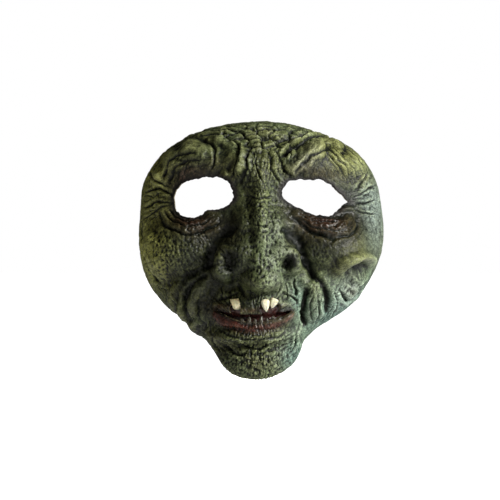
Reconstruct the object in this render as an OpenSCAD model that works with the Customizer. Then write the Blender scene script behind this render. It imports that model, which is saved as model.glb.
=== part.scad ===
// Costume mask: a cast latex face that is worn on the front of the head.
// The latex is one thin shell with two eye holes and an open mouth. A separately cast gum piece
// closes the mouth from inside and holds the teeth. A webbing tab is bonded inside each cheek, and
// an elastic head strap turns on a rivet in each tab.
// Units are millimetres. +Z is up, and the face looks along -Y. The origin lies between the eye
// holes, where the bridge of the wearer's nose sits.

/* [Face] */
// Height of the mask from chin to forehead
mask_h = 205; // [195:1:215]
// Thickness of the latex wall
wall = 2.5; // [2:0.1:3]
// Cells along each side of the face's grid
face_cells = 48; // [36:2:54]

/* [Head strap] */
// Width of the elastic band
band_w = 20; // [16:1:24]
// Thickness of the elastic band
band_t = 1.5; // [1.2:0.1:1.8]
// How far the relaxed loop reaches behind the rivets
loop_depth = 56; // [48:1:64]
// Radius of the rivet's post
post_r = 1.9; // [1.6:0.1:2.1]

/* [Hidden] */
$fn = 48;

// Every face dimension below is for a mask 205 mm tall, and k scales it
k = mask_h / 205;

// ---- The face's outline, seen from the front ----
// The outline runs round this point, which lies on the nose
centre_z = -36;
// Distance from that point to the outline every 15 degrees, from +X upwards
outline_r = [
    98, 101, 107, 108, 104, 101, 100, 101, 106, 108, 106.5, 99.5,
    97, 94.5, 89.5, 85, 85.5, 101, 105, 98, 81, 80.5, 87, 92.5
];
// How far back the cut edge lies at the same places
edge_y = [
    64, 62, 58, 50, 40, 30, 26, 30, 40, 50, 58, 62,
    64, 60, 52, 40, 24, 8, 2, 8, 24, 40, 52, 60
];
ring_step = 360 / len(outline_r);
// The plain dome under the features: how far forward it reaches, and how square its section is
dome_f = 26;
dome_power = 2.2;

// ---- The face's forms ----
// Each stands on the dome: x, z, half width, half height, how far it stands out
forms = [
    [-42, 27, 30, 13, 11],     // right brow
    [44, 27, 30, 13, 11],      // left brow
    [0, 22, 16, 24, 11],       // frown
    [1.5, -3, 9.5, 26, 13],    // bridge of the nose
    [2, -30, 12, 24, 23],      // middle of the nose
    [2, -58, 15, 15, 36],      // tip of the nose
    [-11, -40, 17, 22, 22],    // right side of the nose
    [14, -38, 14, 20, 21],     // left side of the nose
    [-24, -50, 12, 13, 24],    // right nostril's wing
    [23, -49, 12, 13, 24],     // left nostril's wing
    [-62, -38, 25, 22, 17],    // right cheek
    [62, -38, 25, 22, 17],     // left cheek
    [-50, -72, 22, 20, 12],    // right jowl
    [46, -70, 22, 20, 12],     // left jowl
    [-4, -86, 33, 22, 15],     // muzzle
    [-5, -103, 28, 8, 19],     // lower lip
    [-4, -124, 25, 16, 17]     // chin
];
form_blend = 5;
form_power = 1.35;
// The forms fade out between this share of the way to the cut edge and the edge itself
fade_from = 0.72;
// Each is a soft hollow: x, z, half width, half height, depth
hollows = [
    [-45, 0, 26, 16, 8],    // right eye socket
    [43, 0, 28, 15, 8],     // left eye socket
    [-27, -48, 5, 7, 5],    // right nostril
    [25, -46, 5, 7, 5]      // left nostril
];
// The nose's tip hangs: what stands further out than hook_from drops
hook_from = 14;
hook = 0.008;

// ---- The holes through the latex ----
// x, z, half width, half height, tilt, how far the ends curl up, and how square the outline is
right_eye = [-45, 0.5, 24, 15.5, 12, 0, 2.3];
left_eye = [42.5, 0.5, 27.5, 13.5, -8, 0, 1.8];
mouth = [-6, -88.5, 33.5, 8.5, 0, 7.5, 2];
holes = [right_eye, left_eye, mouth];

// ---- The teeth and gum ----
gum_t = 2.5;
gum_lap = 6;
gum_cells = [18, 8];
// A tooth is a hull round three flattened balls: its root, its belly and its tip. Each ball's
// size across, front to back and upwards is a share of the tooth's half width.
tooth_root = [1, 0.62, 0.6];
tooth_belly = [0.95, 0.6, 0.5];
tooth_tip = [0.9, 0.45, 0.32];
// The belly's share of the way down, how far it stands forward, and how far the tip lies back
belly_at = 0.45;
belly_forward = 0.8;
tip_back = 0.2;
// How deep the root's centre sits above the latex's inner side
root_bite = 0.5;
// Each stub: x, z, lean
stubs = [[-11, -91, -6], [-5.5, -92.5, 4], [0.5, -92, -3], [7, -91.5, 6], [14, -89.5, 10]];
stub_half_w = 1.9;
stub_h = 2.6;
stub_tip = 0.6;

// ---- The strap's fixings ----
tab_w = 22;
tab_t = 1.2;
tab_from = 0.72;
pivot_y = 78;
pivot_z = -20;
patch_t = 0.8;
patch_w = 30;
patch_from = 0.69;
patch_to = 0.9;
head_r = 4.5;
head_t = 1.1;
cap_t = 1.6;
run_gap = 0.05;
side_gap = 0.3;
// The band runs this far past the rivets, and leg is the straight part behind them
band_past_rivet = 0.45 * band_w;
leg = 12;
loop_steps = 28;
// The loop is drawn straight back from the rivets, then turned until it hangs
hang_angle = -90;
eyelet_wall = 0.5;
eyelet_flange_r = 3.6;
eyelet_flange_t = 0.3;
glue_bite = 0.3;

// ---- Maths ----
function wrap(i, n) = (i % n + n) % n;

// Smooth curve through a ring of values
function ring(values, angle) =
    let (
        n = len(values),
        q = angle / ring_step,
        i = floor(q),
        f = q - i,
        a = values[wrap(i - 1, n)],
        b = values[wrap(i, n)],
        c = values[wrap(i + 1, n)],
        d = values[wrap(i + 2, n)]
    )
    b + 0.5 * f * (c - a + f * (2 * a - 5 * b + 4 * c - d + f * (3 * (b - c) + d - a)));

function soft_max(a, b, r) = max(a, b) + pow(max(r - abs(a - b), 0), 2) / (4 * r);

function sum_of(v, i = 0) = i < len(v) ? v[i] + sum_of(v, i + 1) : 0;

// ---- The face's surface ----
// How far a form stands out at a point
function form_h(c, x, z) =
    let (q = pow((x - c[0]) / c[2], 2) + pow((z - c[1]) / c[3], 2))
    c[4] * exp(-pow(q, form_power));

function forms_h(h, x, z, i = 0) =
    i < len(forms) ? forms_h(soft_max(h, form_h(forms[i], x, z), form_blend), x, z, i + 1) : h;

function hollows_h(x, z) =
    sum_of([for (h = hollows) h[4] * exp(-pow((x - h[0]) / h[2], 2) - pow((z - h[1]) / h[3], 2))]);

// Disc coordinates are 0 at the outline's centre and 1 at the cut edge
function disc_to_front(d) =
    let (r = min(norm(d), 1), g = pow(sin(90 * r), 2 / dome_power), a = atan2(d[1], d[0]))
    [ring(outline_r, a) * g * cos(a), centre_z + ring(outline_r, a) * g * sin(a)];

function front_to_disc(p) =
    let (
        a = atan2(p[1] - centre_z, p[0]),
        g = min(norm([p[0], p[1] - centre_z]) / ring(outline_r, a), 1),
        r = asin(pow(g, dome_power / 2)) / 90
    )
    r * [cos(a), sin(a)];

function dome_point(d) =
    let (r = min(norm(d), 1), a = atan2(d[1], d[0]), p = disc_to_front(d))
    [p[0], (ring(edge_y, a) + dome_f) * (1 - pow(cos(90 * r), 2 / dome_power)) - dome_f, p[1]];

// Unit normal of a surface at a disc point, taken a little inside the cut edge
function edge_safe(d) = norm(d) > 0.98 ? d * 0.98 / norm(d) : d;
function unit(v) = v / norm(v);

function dome_normal(d) =
    let (e = 0.02, c = edge_safe(d))
    unit(cross(dome_point(c + [e, 0]) - dome_point(c - [e, 0]),
               dome_point(c + [0, e]) - dome_point(c - [0, e])));

function face_point(d) =
    let (
        r = min(norm(d), 1),
        p = dome_point(d),
        share = min(max((1 - r) / (1 - fade_from), 0), 1),
        fade = share * share * (3 - 2 * share),
        h = fade * (forms_h(0, p[0], p[2]) - hollows_h(p[0], p[2]))
    )
    k * (p + h * dome_normal(d) - [0, 0, hook * pow(max(h - hook_from, 0), 2)]);

function face_normal(d) =
    let (e = 0.012, c = edge_safe(d))
    unit(cross(face_point(c + [e, 0]) - face_point(c - [e, 0]),
               face_point(c + [0, e]) - face_point(c - [0, e])));

// A point of the face, moved inwards by a depth
function inner_point(d, depth) = face_point(d) - depth * face_normal(d);

// ---- The holes ----
function turn(v, a) = [v[0] * cos(a) - v[1] * sin(a), v[0] * sin(a) + v[1] * cos(a)];

// A front point in a hole's own coordinates, where the hole's edge is at 1
function hole_local(h, p) =
    let (v = turn(p - [h[0], h[1]], -h[4]), u = v[0] / h[2])
    [u, (v[1] - h[5] * u * u) / h[3]];

function hole_size(h, p) =
    let (v = hole_local(h, p))
    pow(pow(abs(v[0]), h[6]) + pow(abs(v[1]), h[6]), 1 / h[6]);

// The point of a hole's edge nearest to p, by a few Newton steps
function on_hole(h, p, steps = 5) =
    let (
        e = 0.01,
        g = [hole_size(h, p + [e, 0]) - hole_size(h, p - [e, 0]),
             hole_size(h, p + [0, e]) - hole_size(h, p - [0, e])] / (2 * e),
        q = p - (hole_size(h, p) - 1) * g / (g * g)
    )
    steps > 1 ? on_hole(h, q, steps - 1) : q;

// ---- The face's grid: a square of cells laid on the disc ----
// Cells are smaller in the middle, where the nose and mouth are
middle_cell = 0.55;
function spaced(u) = u * (middle_cell + (1 - middle_cell) * u * u);

function grid_disc(i, j) =
    let (s = spaced(2 * i / face_cells - 1), t = spaced(2 * j / face_cells - 1))
    [s * sqrt(1 - t * t / 2), t * sqrt(1 - s * s / 2)];

// The hole nearest to a front point
function nearest_hole(p) =
    let (sizes = [for (h = holes) hole_size(h, p)], least = min(sizes))
    [for (h = [0:len(holes) - 1]) if (sizes[h] == least) h][0];

module face_skin() {
    n = face_cells;
    front = [for (i = [0:n]) [for (j = [0:n]) disc_to_front(grid_disc(i, j))]];
    hole = [for (line = front) [for (p = line) nearest_hole(p)]];
    // Below 0 inside a hole, above 0 in the latex
    level = [for (i = [0:n]) [for (j = [0:n]) hole_size(holes[hole[i][j]], front[i][j]) - 1]];
    function level_at(i, j) = level[min(max(i, 0), n)][min(max(j, 0), n)];
    // Where a grid line crosses a hole's edge, the nearer of its two ends is moved onto the edge
    function moved(i, j) =
        let (v = level[i][j])
        len([for (s = [[1, 0], [-1, 0], [0, 1], [0, -1]])
            let (w = level_at(i + s[0], j + s[1]))
            if (v * w < 0 && abs(v) <= abs(w)) s]) > 0;
    state = [for (i = [0:n]) [for (j = [0:n]) moved(i, j) ? 0 : sign(level[i][j])]];
    discs = [for (i = [0:n]) for (j = [0:n])
        state[i][j] == 0 ? front_to_disc(on_hole(holes[hole[i][j]], front[i][j])) : grid_disc(i, j)];
    count = len(discs);
    function at(i, j) = i * (n + 1) + j;
    // Each cell is two triangles. They meet on the falling diagonal if that one lies along a hole's
    // edge, or if it points at the outline's centre.
    function states(i, j) = [state[i][j], state[i + 1][j], state[i + 1][j + 1], state[i][j + 1]];
    function falls(i, j) =
        let (v = states(i, j))
        min(v) < 0 && max(v) > 0 ? v[1] == 0 && v[3] == 0 : (i + 0.5 - n / 2) * (j + 0.5 - n / 2) < 0;
    fall = [for (i = [0:n - 1]) [for (j = [0:n - 1]) falls(i, j)]];
    // Corners of a cell's triangle 0 or 1, as numbers from 0 to 3
    function corners(i, j, t) =
        fall[i][j] ? (t == 0 ? [0, 1, 3] : [1, 2, 3])
        : (t == 0 ? [0, 1, 2] : [0, 2, 3]);
    function is_latex(i, j, t) = max([for (c = corners(i, j, t)) states(i, j)[c]]) > 0;
    latex = [for (i = [0:n - 1]) [for (j = [0:n - 1]) [is_latex(i, j, 0), is_latex(i, j, 1)]]];
    // Which triangle of a cell holds side 0 to 3, which are -Y, +X, +Y and -X of the grid
    function side_holder(i, j, side) =
        side == 0 ? 0
        : side == 2 ? 1
        : (side == 1) == fall[i][j] ? 1 : 0;
    function side_latex(i, j, side) =
        i < 0 || j < 0 || i >= n || j >= n ? false : latex[i][j][side_holder(i, j, side)];
    function cell_points(i, j) = [at(i, j), at(i + 1, j), at(i + 1, j + 1), at(i, j + 1)];
    function wall_faces(a, b) = [[b + count, a + count, a], [b, b + count, a]];
    skin_faces = [for (i = [0:n - 1]) for (j = [0:n - 1]) for (t = [0, 1]) if (latex[i][j][t])
        each let (p = [for (c = corners(i, j, t)) cell_points(i, j)[c]])
        [[p[2], p[1], p[0]], [p[0] + count, p[1] + count, p[2] + count]]];
    // The cut edge joins the two sides wherever latex meets a hole or the outside
    across = [[0, -1], [1, 0], [0, 1], [-1, 0]];
    side_faces = [for (i = [0:n - 1]) for (j = [0:n - 1]) for (side = [0:3])
        if (side_latex(i, j, side)
            && !side_latex(i + across[side][0], j + across[side][1], (side + 2) % 4))
        each let (p = cell_points(i, j)) wall_faces(p[side], p[(side + 1) % 4])];
    diagonal_faces = [for (i = [0:n - 1]) for (j = [0:n - 1]) if (latex[i][j][0] != latex[i][j][1])
        each let (
            p = cell_points(i, j),
            d = fall[i][j] ? [p[1], p[3]] : [p[2], p[0]]
        )
        latex[i][j][0] ? wall_faces(d[0], d[1]) : wall_faces(d[1], d[0])];
    color("darkolivegreen")
        polyhedron(
            points = concat(
                [for (d = discs) face_point(d)],
                [for (d = discs) inner_point(d, wall)]
            ),
            faces = concat(skin_faces, side_faces, diagonal_faces),
            convexity = 8
        );
}

// A plate that follows the inside of the face, from depth_a to depth_b under the outer surface.
// grid holds rows of disc points.
module lining(grid, depth_a, depth_b) {
    cells_i = len(grid) - 1;
    row = len(grid[0]);
    cells_j = row - 1;
    discs = [for (line = grid) each line];
    count = len(discs);
    sides = concat(
        [for (i = [0:cells_i]) i * row],
        [for (j = [1:cells_j]) cells_i * row + j],
        [for (i = [cells_i - 1:-1:0]) i * row + cells_j],
        [for (j = [cells_j - 1:-1:1]) j]
    );
    polyhedron(
        points = concat(
            [for (d = discs) inner_point(d, depth_a)],
            [for (d = discs) inner_point(d, depth_b)]
        ),
        faces = concat(
            [for (i = [0:cells_i - 1]) for (j = [0:cells_j - 1])
                each let (p = [i * row + j, (i + 1) * row + j, (i + 1) * row + j + 1, i * row + j + 1])
                [
                    [p[2], p[1], p[0]], [p[3], p[2], p[0]],
                    [p[0] + count, p[1] + count, p[2] + count],
                    [p[0] + count, p[2] + count, p[3] + count]
                ]],
            [for (s = [0:len(sides) - 1])
                each let (a = sides[s], b = sides[(s + 1) % len(sides)])
                [[b + count, a + count, a], [b, b + count, a]]]
        ),
        convexity = 4
    );
}

module gum_insert() {
    half = [mouth[2] + gum_lap, mouth[3] + gum_lap];
    color("maroon")
        lining(
            [for (i = [0:gum_cells[0]]) [for (j = [0:gum_cells[1]])
                let (u = 2 * i / gum_cells[0] - 1, v = 2 * j / gum_cells[1] - 1)
                front_to_disc([mouth[0] + u * half[0], mouth[1] + v * half[1] + mouth[5] * u * u])]],
            wall - glue_bite, wall + gum_t
        );
}

// A tooth that hangs from x, z. lean is its tilt in degrees, and point is how wide its tip stays.
module tooth(x, z, half_w, length, lean, point) {
    translate(inner_point(front_to_disc([x, z]), wall - root_bite))
        rotate([0, lean, 0])
            hull() {
                scale(tooth_root * half_w) sphere(r = 1, $fn = 20);
                translate([0, -belly_forward, -length * belly_at])
                    scale(tooth_belly * half_w) sphere(r = 1, $fn = 20);
                translate([0, tip_back, -length])
                    scale([tooth_tip[0] * point, tooth_tip[1], tooth_tip[2]] * half_w)
                        sphere(r = 1, $fn = 16);
            }
}

module tooth_right() {
    color("ivory") tooth(-17.5, -78, 3.9, 9, -6, 0.8);
}

module tooth_left_inner() {
    color("ivory") tooth(5.4, -78.5, 3.8, 9.5, -3, 0.28);
}

module tooth_left_outer() {
    color("ivory") tooth(12.8, -78, 3.3, 8.5, 8, 0.25);
}

module tooth_stubs() {
    color("saddlebrown")
        for (s = stubs) tooth(s[0], s[1], stub_half_w, stub_h, s[2], stub_tip);
}

// ---- The strap's fixings ----
// The cut edge beside the rivets
pivot_angle = atan2(pivot_z / k - centre_z, outline_r[0]);
edge_at_tab = k * ring(edge_y, pivot_angle);
tab_outer_x = k * ring(outline_r, pivot_angle) * cos(pivot_angle) - wall + glue_bite;
tab_inner_x = tab_outer_x - tab_t;
band_outer_x = tab_inner_x - side_gap - eyelet_flange_t;
band_inner_x = band_outer_x - band_t;
cap_x = band_inner_x - eyelet_flange_t - side_gap;

// Disc points beside the cut edge, from r_in to r_out, for a strip of a width centred on the rivet
function side_grid(r_in, r_out, width, cells) =
    [for (i = [0:cells]) [for (j = [0:cells])
        let (
            r = r_in + (r_out - r_in) * i / cells,
            z = pivot_z / k + width * (j / cells - 0.5),
            a = atan2(z - centre_z, outline_r[0])
        )
        r * [cos(a), sin(a)]]];

// Parts of the right side are drawn at +X and mirrored
module on_side(side) {
    if (side < 0) mirror([1, 0, 0]) children();
    else children();
}

// A disc-like solid on the strap's turning axis, from x0 outwards
module on_pivot(x0, length, r) {
    translate([x0, pivot_y, pivot_z]) rotate([0, 90, 0]) cylinder(r = r, h = length);
}

// The webbing follows the inside of the cheek and runs out past the cut edge
module anchor_tab(side) {
    color("dimgray")
        on_side(side) {
            lining(side_grid(tab_from, 1, tab_w, 6), wall - glue_bite, wall - glue_bite + tab_t);
            difference() {
                union() {
                    translate([tab_inner_x, edge_at_tab - 1, pivot_z - tab_w / 2])
                        cube([tab_t, pivot_y - edge_at_tab + 1, tab_w]);
                    on_pivot(tab_inner_x, tab_t, tab_w / 2);
                }
                on_pivot(tab_inner_x - 1, tab_t + 2, post_r);
            }
        }
}

// A square of latex and gauze holds the webbing down
module bond_patch(side) {
    color("darkkhaki")
        on_side(side)
            lining(side_grid(patch_from, patch_to, patch_w, 5),
                   wall - glue_bite + tab_t, wall - glue_bite + tab_t + patch_t);
}

// The rivet's post, with its head outside the webbing
module rivet(side) {
    color("silver")
        on_side(side) {
            on_pivot(tab_outer_x, head_t, head_r);
            on_pivot(cap_x - cap_t / 2, tab_outer_x - cap_x + cap_t / 2, post_r);
        }
}

module rivet_cap(side) {
    color("silver")
        on_side(side)
            difference() {
                on_pivot(cap_x - cap_t, cap_t, head_r);
                on_pivot(cap_x - cap_t / 2, cap_t, post_r);
            }
}

module rotate_on_pivot(a) {
    translate([0, pivot_y, pivot_z])
        rotate([a, 0, 0])
            translate([0, -pivot_y, -pivot_z]) children();
}

// The eyelet lines the hole in the band
module eyelet(side) {
    color("silver")
        on_side(side)
            rotate_on_pivot(hang_angle)
                difference() {
                    union() {
                        on_pivot(band_inner_x, band_t, post_r + run_gap + eyelet_wall);
                        on_pivot(band_outer_x, eyelet_flange_t, eyelet_flange_r);
                        on_pivot(band_inner_x - eyelet_flange_t, eyelet_flange_t, eyelet_flange_r);
                    }
                    on_pivot(band_inner_x - 1, band_t + 2, post_r + run_gap);
                }
}

// One side of the band, seen from above: straight legs beside the rivets, then half an ellipse
function loop_line(x, depth) = concat(
    [[x, pivot_y - band_past_rivet], [x, pivot_y + leg]],
    [for (i = [1:loop_steps - 1]) let (a = 180 * i / loop_steps)
        [x * cos(a), pivot_y + leg + depth * sin(a)]],
    [[-x, pivot_y + leg], [-x, pivot_y - band_past_rivet]]
);

module strap_band() {
    outer = loop_line(band_outer_x, loop_depth - leg);
    inner = loop_line(band_inner_x, loop_depth - leg - band_t);
    color("black")
        rotate_on_pivot(hang_angle)
            difference() {
                translate([0, 0, pivot_z - band_w / 2])
                    linear_extrude(height = band_w)
                        polygon(concat(outer, [for (i = [len(inner) - 1:-1:0]) inner[i]]));
                for (side = [-1, 1]) on_side(side)
                    on_pivot(band_inner_x - 1, band_t + 2, post_r + run_gap + eyelet_wall);
            }
}

face_skin();
gum_insert();
tooth_right();
tooth_left_inner();
tooth_left_outer();
tooth_stubs();
anchor_tab(-1);  // anchor_tab_right
anchor_tab(1);  // anchor_tab_left
bond_patch(-1);  // bond_patch_right
bond_patch(1);  // bond_patch_left
rivet(-1);  // rivet_right
rivet(1);  // rivet_left
rivet_cap(-1);  // rivet_cap_right
rivet_cap(1);  // rivet_cap_left
strap_band();
eyelet(-1);  // eyelet_right
eyelet(1);  // eyelet_left
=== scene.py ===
import math

import bpy
import numpy as np
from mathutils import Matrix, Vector


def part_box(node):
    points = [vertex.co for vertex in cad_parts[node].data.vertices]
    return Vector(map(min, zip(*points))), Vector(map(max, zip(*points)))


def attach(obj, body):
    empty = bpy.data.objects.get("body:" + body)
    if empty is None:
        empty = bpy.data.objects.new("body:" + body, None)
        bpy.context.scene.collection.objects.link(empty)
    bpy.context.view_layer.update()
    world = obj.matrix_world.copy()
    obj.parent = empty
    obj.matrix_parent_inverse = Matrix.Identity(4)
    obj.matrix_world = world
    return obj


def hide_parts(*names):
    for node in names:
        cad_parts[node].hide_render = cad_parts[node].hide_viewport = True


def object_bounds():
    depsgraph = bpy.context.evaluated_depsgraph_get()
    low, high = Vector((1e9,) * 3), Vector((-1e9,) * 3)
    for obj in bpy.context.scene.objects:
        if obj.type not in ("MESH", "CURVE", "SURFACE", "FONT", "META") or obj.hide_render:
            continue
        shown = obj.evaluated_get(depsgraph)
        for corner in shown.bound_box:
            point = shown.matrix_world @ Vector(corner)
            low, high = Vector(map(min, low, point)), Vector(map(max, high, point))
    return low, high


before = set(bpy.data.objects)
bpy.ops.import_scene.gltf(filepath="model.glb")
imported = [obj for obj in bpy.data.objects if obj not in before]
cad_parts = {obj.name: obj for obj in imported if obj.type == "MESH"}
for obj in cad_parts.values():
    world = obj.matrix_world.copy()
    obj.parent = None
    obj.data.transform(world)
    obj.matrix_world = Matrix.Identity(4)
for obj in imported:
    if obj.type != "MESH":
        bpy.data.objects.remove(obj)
cad_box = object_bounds()
MM = 0.001
LINE_STEPS = 7
TURNED_SIDES = 64


# ---------------------------------------------------------------- noise and curves
def lattice(ix, iy, seed):
    """A fixed pseudo-random number from 0 to 1 for each lattice point."""
    h = (ix.astype(np.int64) * 374761393 + iy.astype(np.int64) * 668265263 + seed * 974711) & 0x7FFFFFFF
    h = ((h ^ (h >> 13)) * 1274126177) & 0x7FFFFFFF
    return ((h ^ (h >> 16)) & 0xFFFFF) / float(0xFFFFF)


def noise(x, y, seed=0):
    """Smooth noise from -1 to 1 with features one unit wide."""
    ix, iy = np.floor(x), np.floor(y)
    fx, fy = x - ix, y - iy
    fx, fy = fx * fx * (3 - 2 * fx), fy * fy * (3 - 2 * fy)
    low = lattice(ix, iy, seed) * (1 - fx) + lattice(ix + 1, iy, seed) * fx
    high = lattice(ix, iy + 1, seed) * (1 - fx) + lattice(ix + 1, iy + 1, seed) * fx
    return 2 * (low * (1 - fy) + high * fy) - 1


def fractal(x, y, seed=0, octaves=4):
    """Octaves of noise, each on a lattice turned from the last so that no weave shows."""
    total, size = 0.0, 1.0
    for k in range(octaves):
        c, s = math.cos(0.7 + 0.9 * k), math.sin(0.7 + 0.9 * k)
        u, v = (x * c + y * s) * 2**k, (y * c - x * s) * 2**k
        total = total + size * noise(u + 5.3 * k, v - 3.7 * k, seed + k)
        size *= 0.5
    return total


def cells(p, seed=0):
    """Distances to the nearest and second nearest of one scattered point per unit cube, and the nearest
    one's number."""
    shape = p.shape[:-1]
    corner = np.floor(p)
    near, second, number = np.full(shape, 9.0), np.full(shape, 9.0), np.zeros(shape)
    for offset in np.ndindex(3, 3, 3):
        c = corner + np.array(offset) - 1
        key = c[..., 0] + 4099 * c[..., 2]
        spread = [0.15 + 0.7 * lattice(key, c[..., 1], seed + 11 * k) for k in range(3)]
        d = np.linalg.norm(p - c - np.stack(spread, -1), axis=-1)
        closer = d < near
        second = np.where(closer, near, np.minimum(second, d))
        number = np.where(closer, lattice(key, c[..., 1], seed + 50), number)
        near = np.where(closer, d, near)
    return near, second, number


def catmull(a, b, c, d, f):
    """The point at share f of the way from b to c on a smooth curve through a, b, c and d."""
    return b + 0.5 * f * (c - a + f * (2 * a - 5 * b + 4 * c - d + f * (3 * (b - c) + d - a)))


def ring(values, angle):
    """Smooth closed curve through values spread evenly round the circle. angle is in radians."""
    v = np.asarray(values, float)
    q = np.asarray(angle) / (2 * math.pi) * len(v)
    i = np.floor(q).astype(int)
    return catmull(*(v[(i + k) % len(v)] for k in (-1, 0, 1, 2)), q - i)


def smooth_line(points):
    """A smooth curve through a few given points."""
    p = np.asarray(points, float)
    p = np.vstack([2 * p[0] - p[1], p, 2 * p[-1] - p[-2]])
    shares = np.linspace(0, 1, LINE_STEPS, endpoint=False)
    curve = [catmull(*p[k - 1 : k + 3], f) for k in range(1, len(p) - 2) for f in shares]
    return np.array(curve + [p[-2]])


def distances(line):
    """How far along a line each of its points is."""
    return np.concatenate([[0], np.cumsum(np.linalg.norm(np.diff(line, axis=0), axis=-1))])


def step(lo, hi, x):
    """0 below lo, 1 above hi, and smooth between. lo may be the larger."""
    t = np.clip((x - lo) / (hi - lo), 0, 1)
    return t * t * (3 - 2 * t)


def cos_sin(degrees):
    return math.cos(math.radians(degrees)), math.sin(math.radians(degrees))


def spot(x, z, cx, cz, wx, wz, turn=0.0):
    """A soft spot of strength 1 at its centre. turn is in degrees."""
    c, s = cos_sin(turn)
    u, v = (x - cx) * c + (z - cz) * s, -(x - cx) * s + (z - cz) * c
    return np.exp(-((u / wx) ** 2) - (v / wz) ** 2)


def spots(x, z, places):
    """The sum of soft spots, each given as its strength and then as spot takes it."""
    return sum(strength * spot(x, z, *where) for strength, *where in places)


def blur(field, sigma):
    """Gaussian blur of a grid, in cells."""
    reach = int(3 * sigma) + 1
    k = np.exp(-0.5 * (np.arange(-reach, reach + 1) / sigma) ** 2)
    k /= k.sum()
    for axis in (0, 1):
        pad = [(reach, reach) if a == axis else (0, 0) for a in range(field.ndim)]
        padded = np.pad(field, pad, mode="edge")
        field = sum(k[i] * np.take(padded, np.arange(i, i + field.shape[axis]), axis) for i in range(len(k)))
    return field


# ---------------------------------------------------------------- the face's base shape
CELLS = 400
WALL = 2.4
CENTRE_Z = -36
OUTLINE_R = [101.5, 105, 110, 110, 103.5, 100.5, 99.5, 100, 104.5, 107.5, 106.5, 99.5,
             96, 94.5, 89.5, 83.5, 84.5, 95.5, 100.5, 97.5, 81.5, 82.5, 89.5, 95.5]
# The two sharp corners where the jaw meets the chin: angle, how far out, half width in degrees
JAW_CORNERS = [(234, 3, 4), (294, -3, 4)]
EDGE_Y = [64, 62, 58, 50, 40, 30, 26, 30, 40, 50, 58, 62,
          64, 60, 52, 40, 24, 8, 2, 8, 24, 40, 52, 60]
DOME_F = 26
DOME_POWER = 2.2
MIDDLE_CELL = 0.55
# Each form stands on the dome: x, z, half width, half height, how far it stands out
FORMS = [
    (-42, 27, 30, 13, 11), (44, 27, 30, 13, 11), (0, 22, 16, 24, 11),
    (1.5, -2, 8, 24, 13), (1.5, -19, 9.5, 20, 19), (2, -34, 12, 18, 25),
    (2, -47, 14, 16, 30), (2, -58, 14, 13, 34.5),
    (-8, -26, 15, 20, 15), (11, -27, 14, 20, 16.5), (-10, -43, 19, 18, 25.5), (13, -43, 15, 16, 25),
    (-21.5, -49.5, 12.5, 13, 24), (20.5, -45.5, 11, 12, 24),
    (-62, -38, 25, 22, 17), (62, -38, 25, 22, 17), (-50, -72, 22, 20, 12), (46, -70, 22, 20, 12),
    (-4, -86, 33, 22, 15), (-5, -103, 28, 8, 19), (-4, -124, 25, 16, 17),
]
FORM_POWER = 1.35
FORM_BLEND = 5
FADE_FROM = 0.72
HOLLOWS = [(-45, 0, 26, 16, 8), (43, 0, 28, 15, 8), (-19.5, -47.5, 5, 6.5, 7), (18.6, -48, 4, 5, 11)]
HOOK_FROM = 14
HOOK = 0.008


def bump_at(a, corner, out, wide):
    """A bump of height out round the angle corner. a is in radians, corner and wide are in degrees."""
    off = (np.degrees(a) - corner + 180) % 360 - 180
    return out * np.exp(-((off / wide) ** 2))


def rim_r(a):
    """The outline's distance from the middle at an angle."""
    return ring(OUTLINE_R, a) + sum(bump_at(a, *corner) for corner in JAW_CORNERS)


def dome(disc_x, disc_z):
    r = np.minimum(np.hypot(disc_x, disc_z), 1)
    a = np.arctan2(disc_z, disc_x)
    g = np.sin(r * math.pi / 2) ** (2 / DOME_POWER)
    rim = rim_r(a)
    depth = (ring(EDGE_Y, a) + DOME_F) * (1 - np.cos(r * math.pi / 2) ** (2 / DOME_POWER)) - DOME_F
    return np.stack([rim * g * np.cos(a), depth, CENTRE_Z + rim * g * np.sin(a)], -1), r


def to_disc(x, z):
    """The dome's disc coordinates of a point seen from the front."""
    a = np.arctan2(z - CENTRE_Z, x)
    g = np.minimum(np.hypot(x, z - CENTRE_Z) / rim_r(a), 1)
    r = np.arcsin(g ** (DOME_POWER / 2)) / (math.pi / 2)
    return r * np.cos(a), r * np.sin(a)


def soft_max(a, b, r):
    return np.maximum(a, b) + np.maximum(r - np.abs(a - b), 0) ** 2 / (4 * r)


def forms_height(x, z):
    h = np.zeros(x.shape)
    for cx, cz, wx, wz, high in FORMS:
        q = ((x - cx) / wx) ** 2 + ((z - cz) / wz) ** 2
        h = soft_max(h, high * np.exp(-(q**FORM_POWER)), FORM_BLEND)
    for cx, cz, wx, wz, deep in HOLLOWS:
        h = h - deep * spot(x, z, cx, cz, wx, wz)
    return h


def normals(p):
    """Unit normals of a grid of points, outwards if its first axis runs along X and its second along Z."""
    n = np.cross(np.gradient(p, axis=0), np.gradient(p, axis=1))
    return n / np.maximum(np.linalg.norm(n, axis=-1, keepdims=True), 1e-9)


def shape(disc_x, disc_z):
    """The face before its wrinkles: points, normals, height above the dome, distance from the middle, and
    the dome. disc_x runs along the first axis."""
    base, r = dome(disc_x, disc_z)
    h = step(1, FADE_FROM, r) * forms_height(base[..., 0], base[..., 2])
    points = base + h[..., None] * normals(base)
    points[..., 2] -= HOOK * np.maximum(h - HOOK_FROM, 0) ** 2
    return points, normals(points), h, r, base


def unroll(points, base):
    """Front coordinates that keep growing down the sides, so that wrinkles there aren't drawn out."""
    deep = base[..., 1] + DOME_F
    extra = 0.565 * deep * (deep / 90) ** 0.75
    a = np.arctan2(base[..., 2] - CENTRE_Z, base[..., 0])
    return points[..., 0] + extra * np.cos(a), points[..., 2] + extra * np.sin(a)


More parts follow.
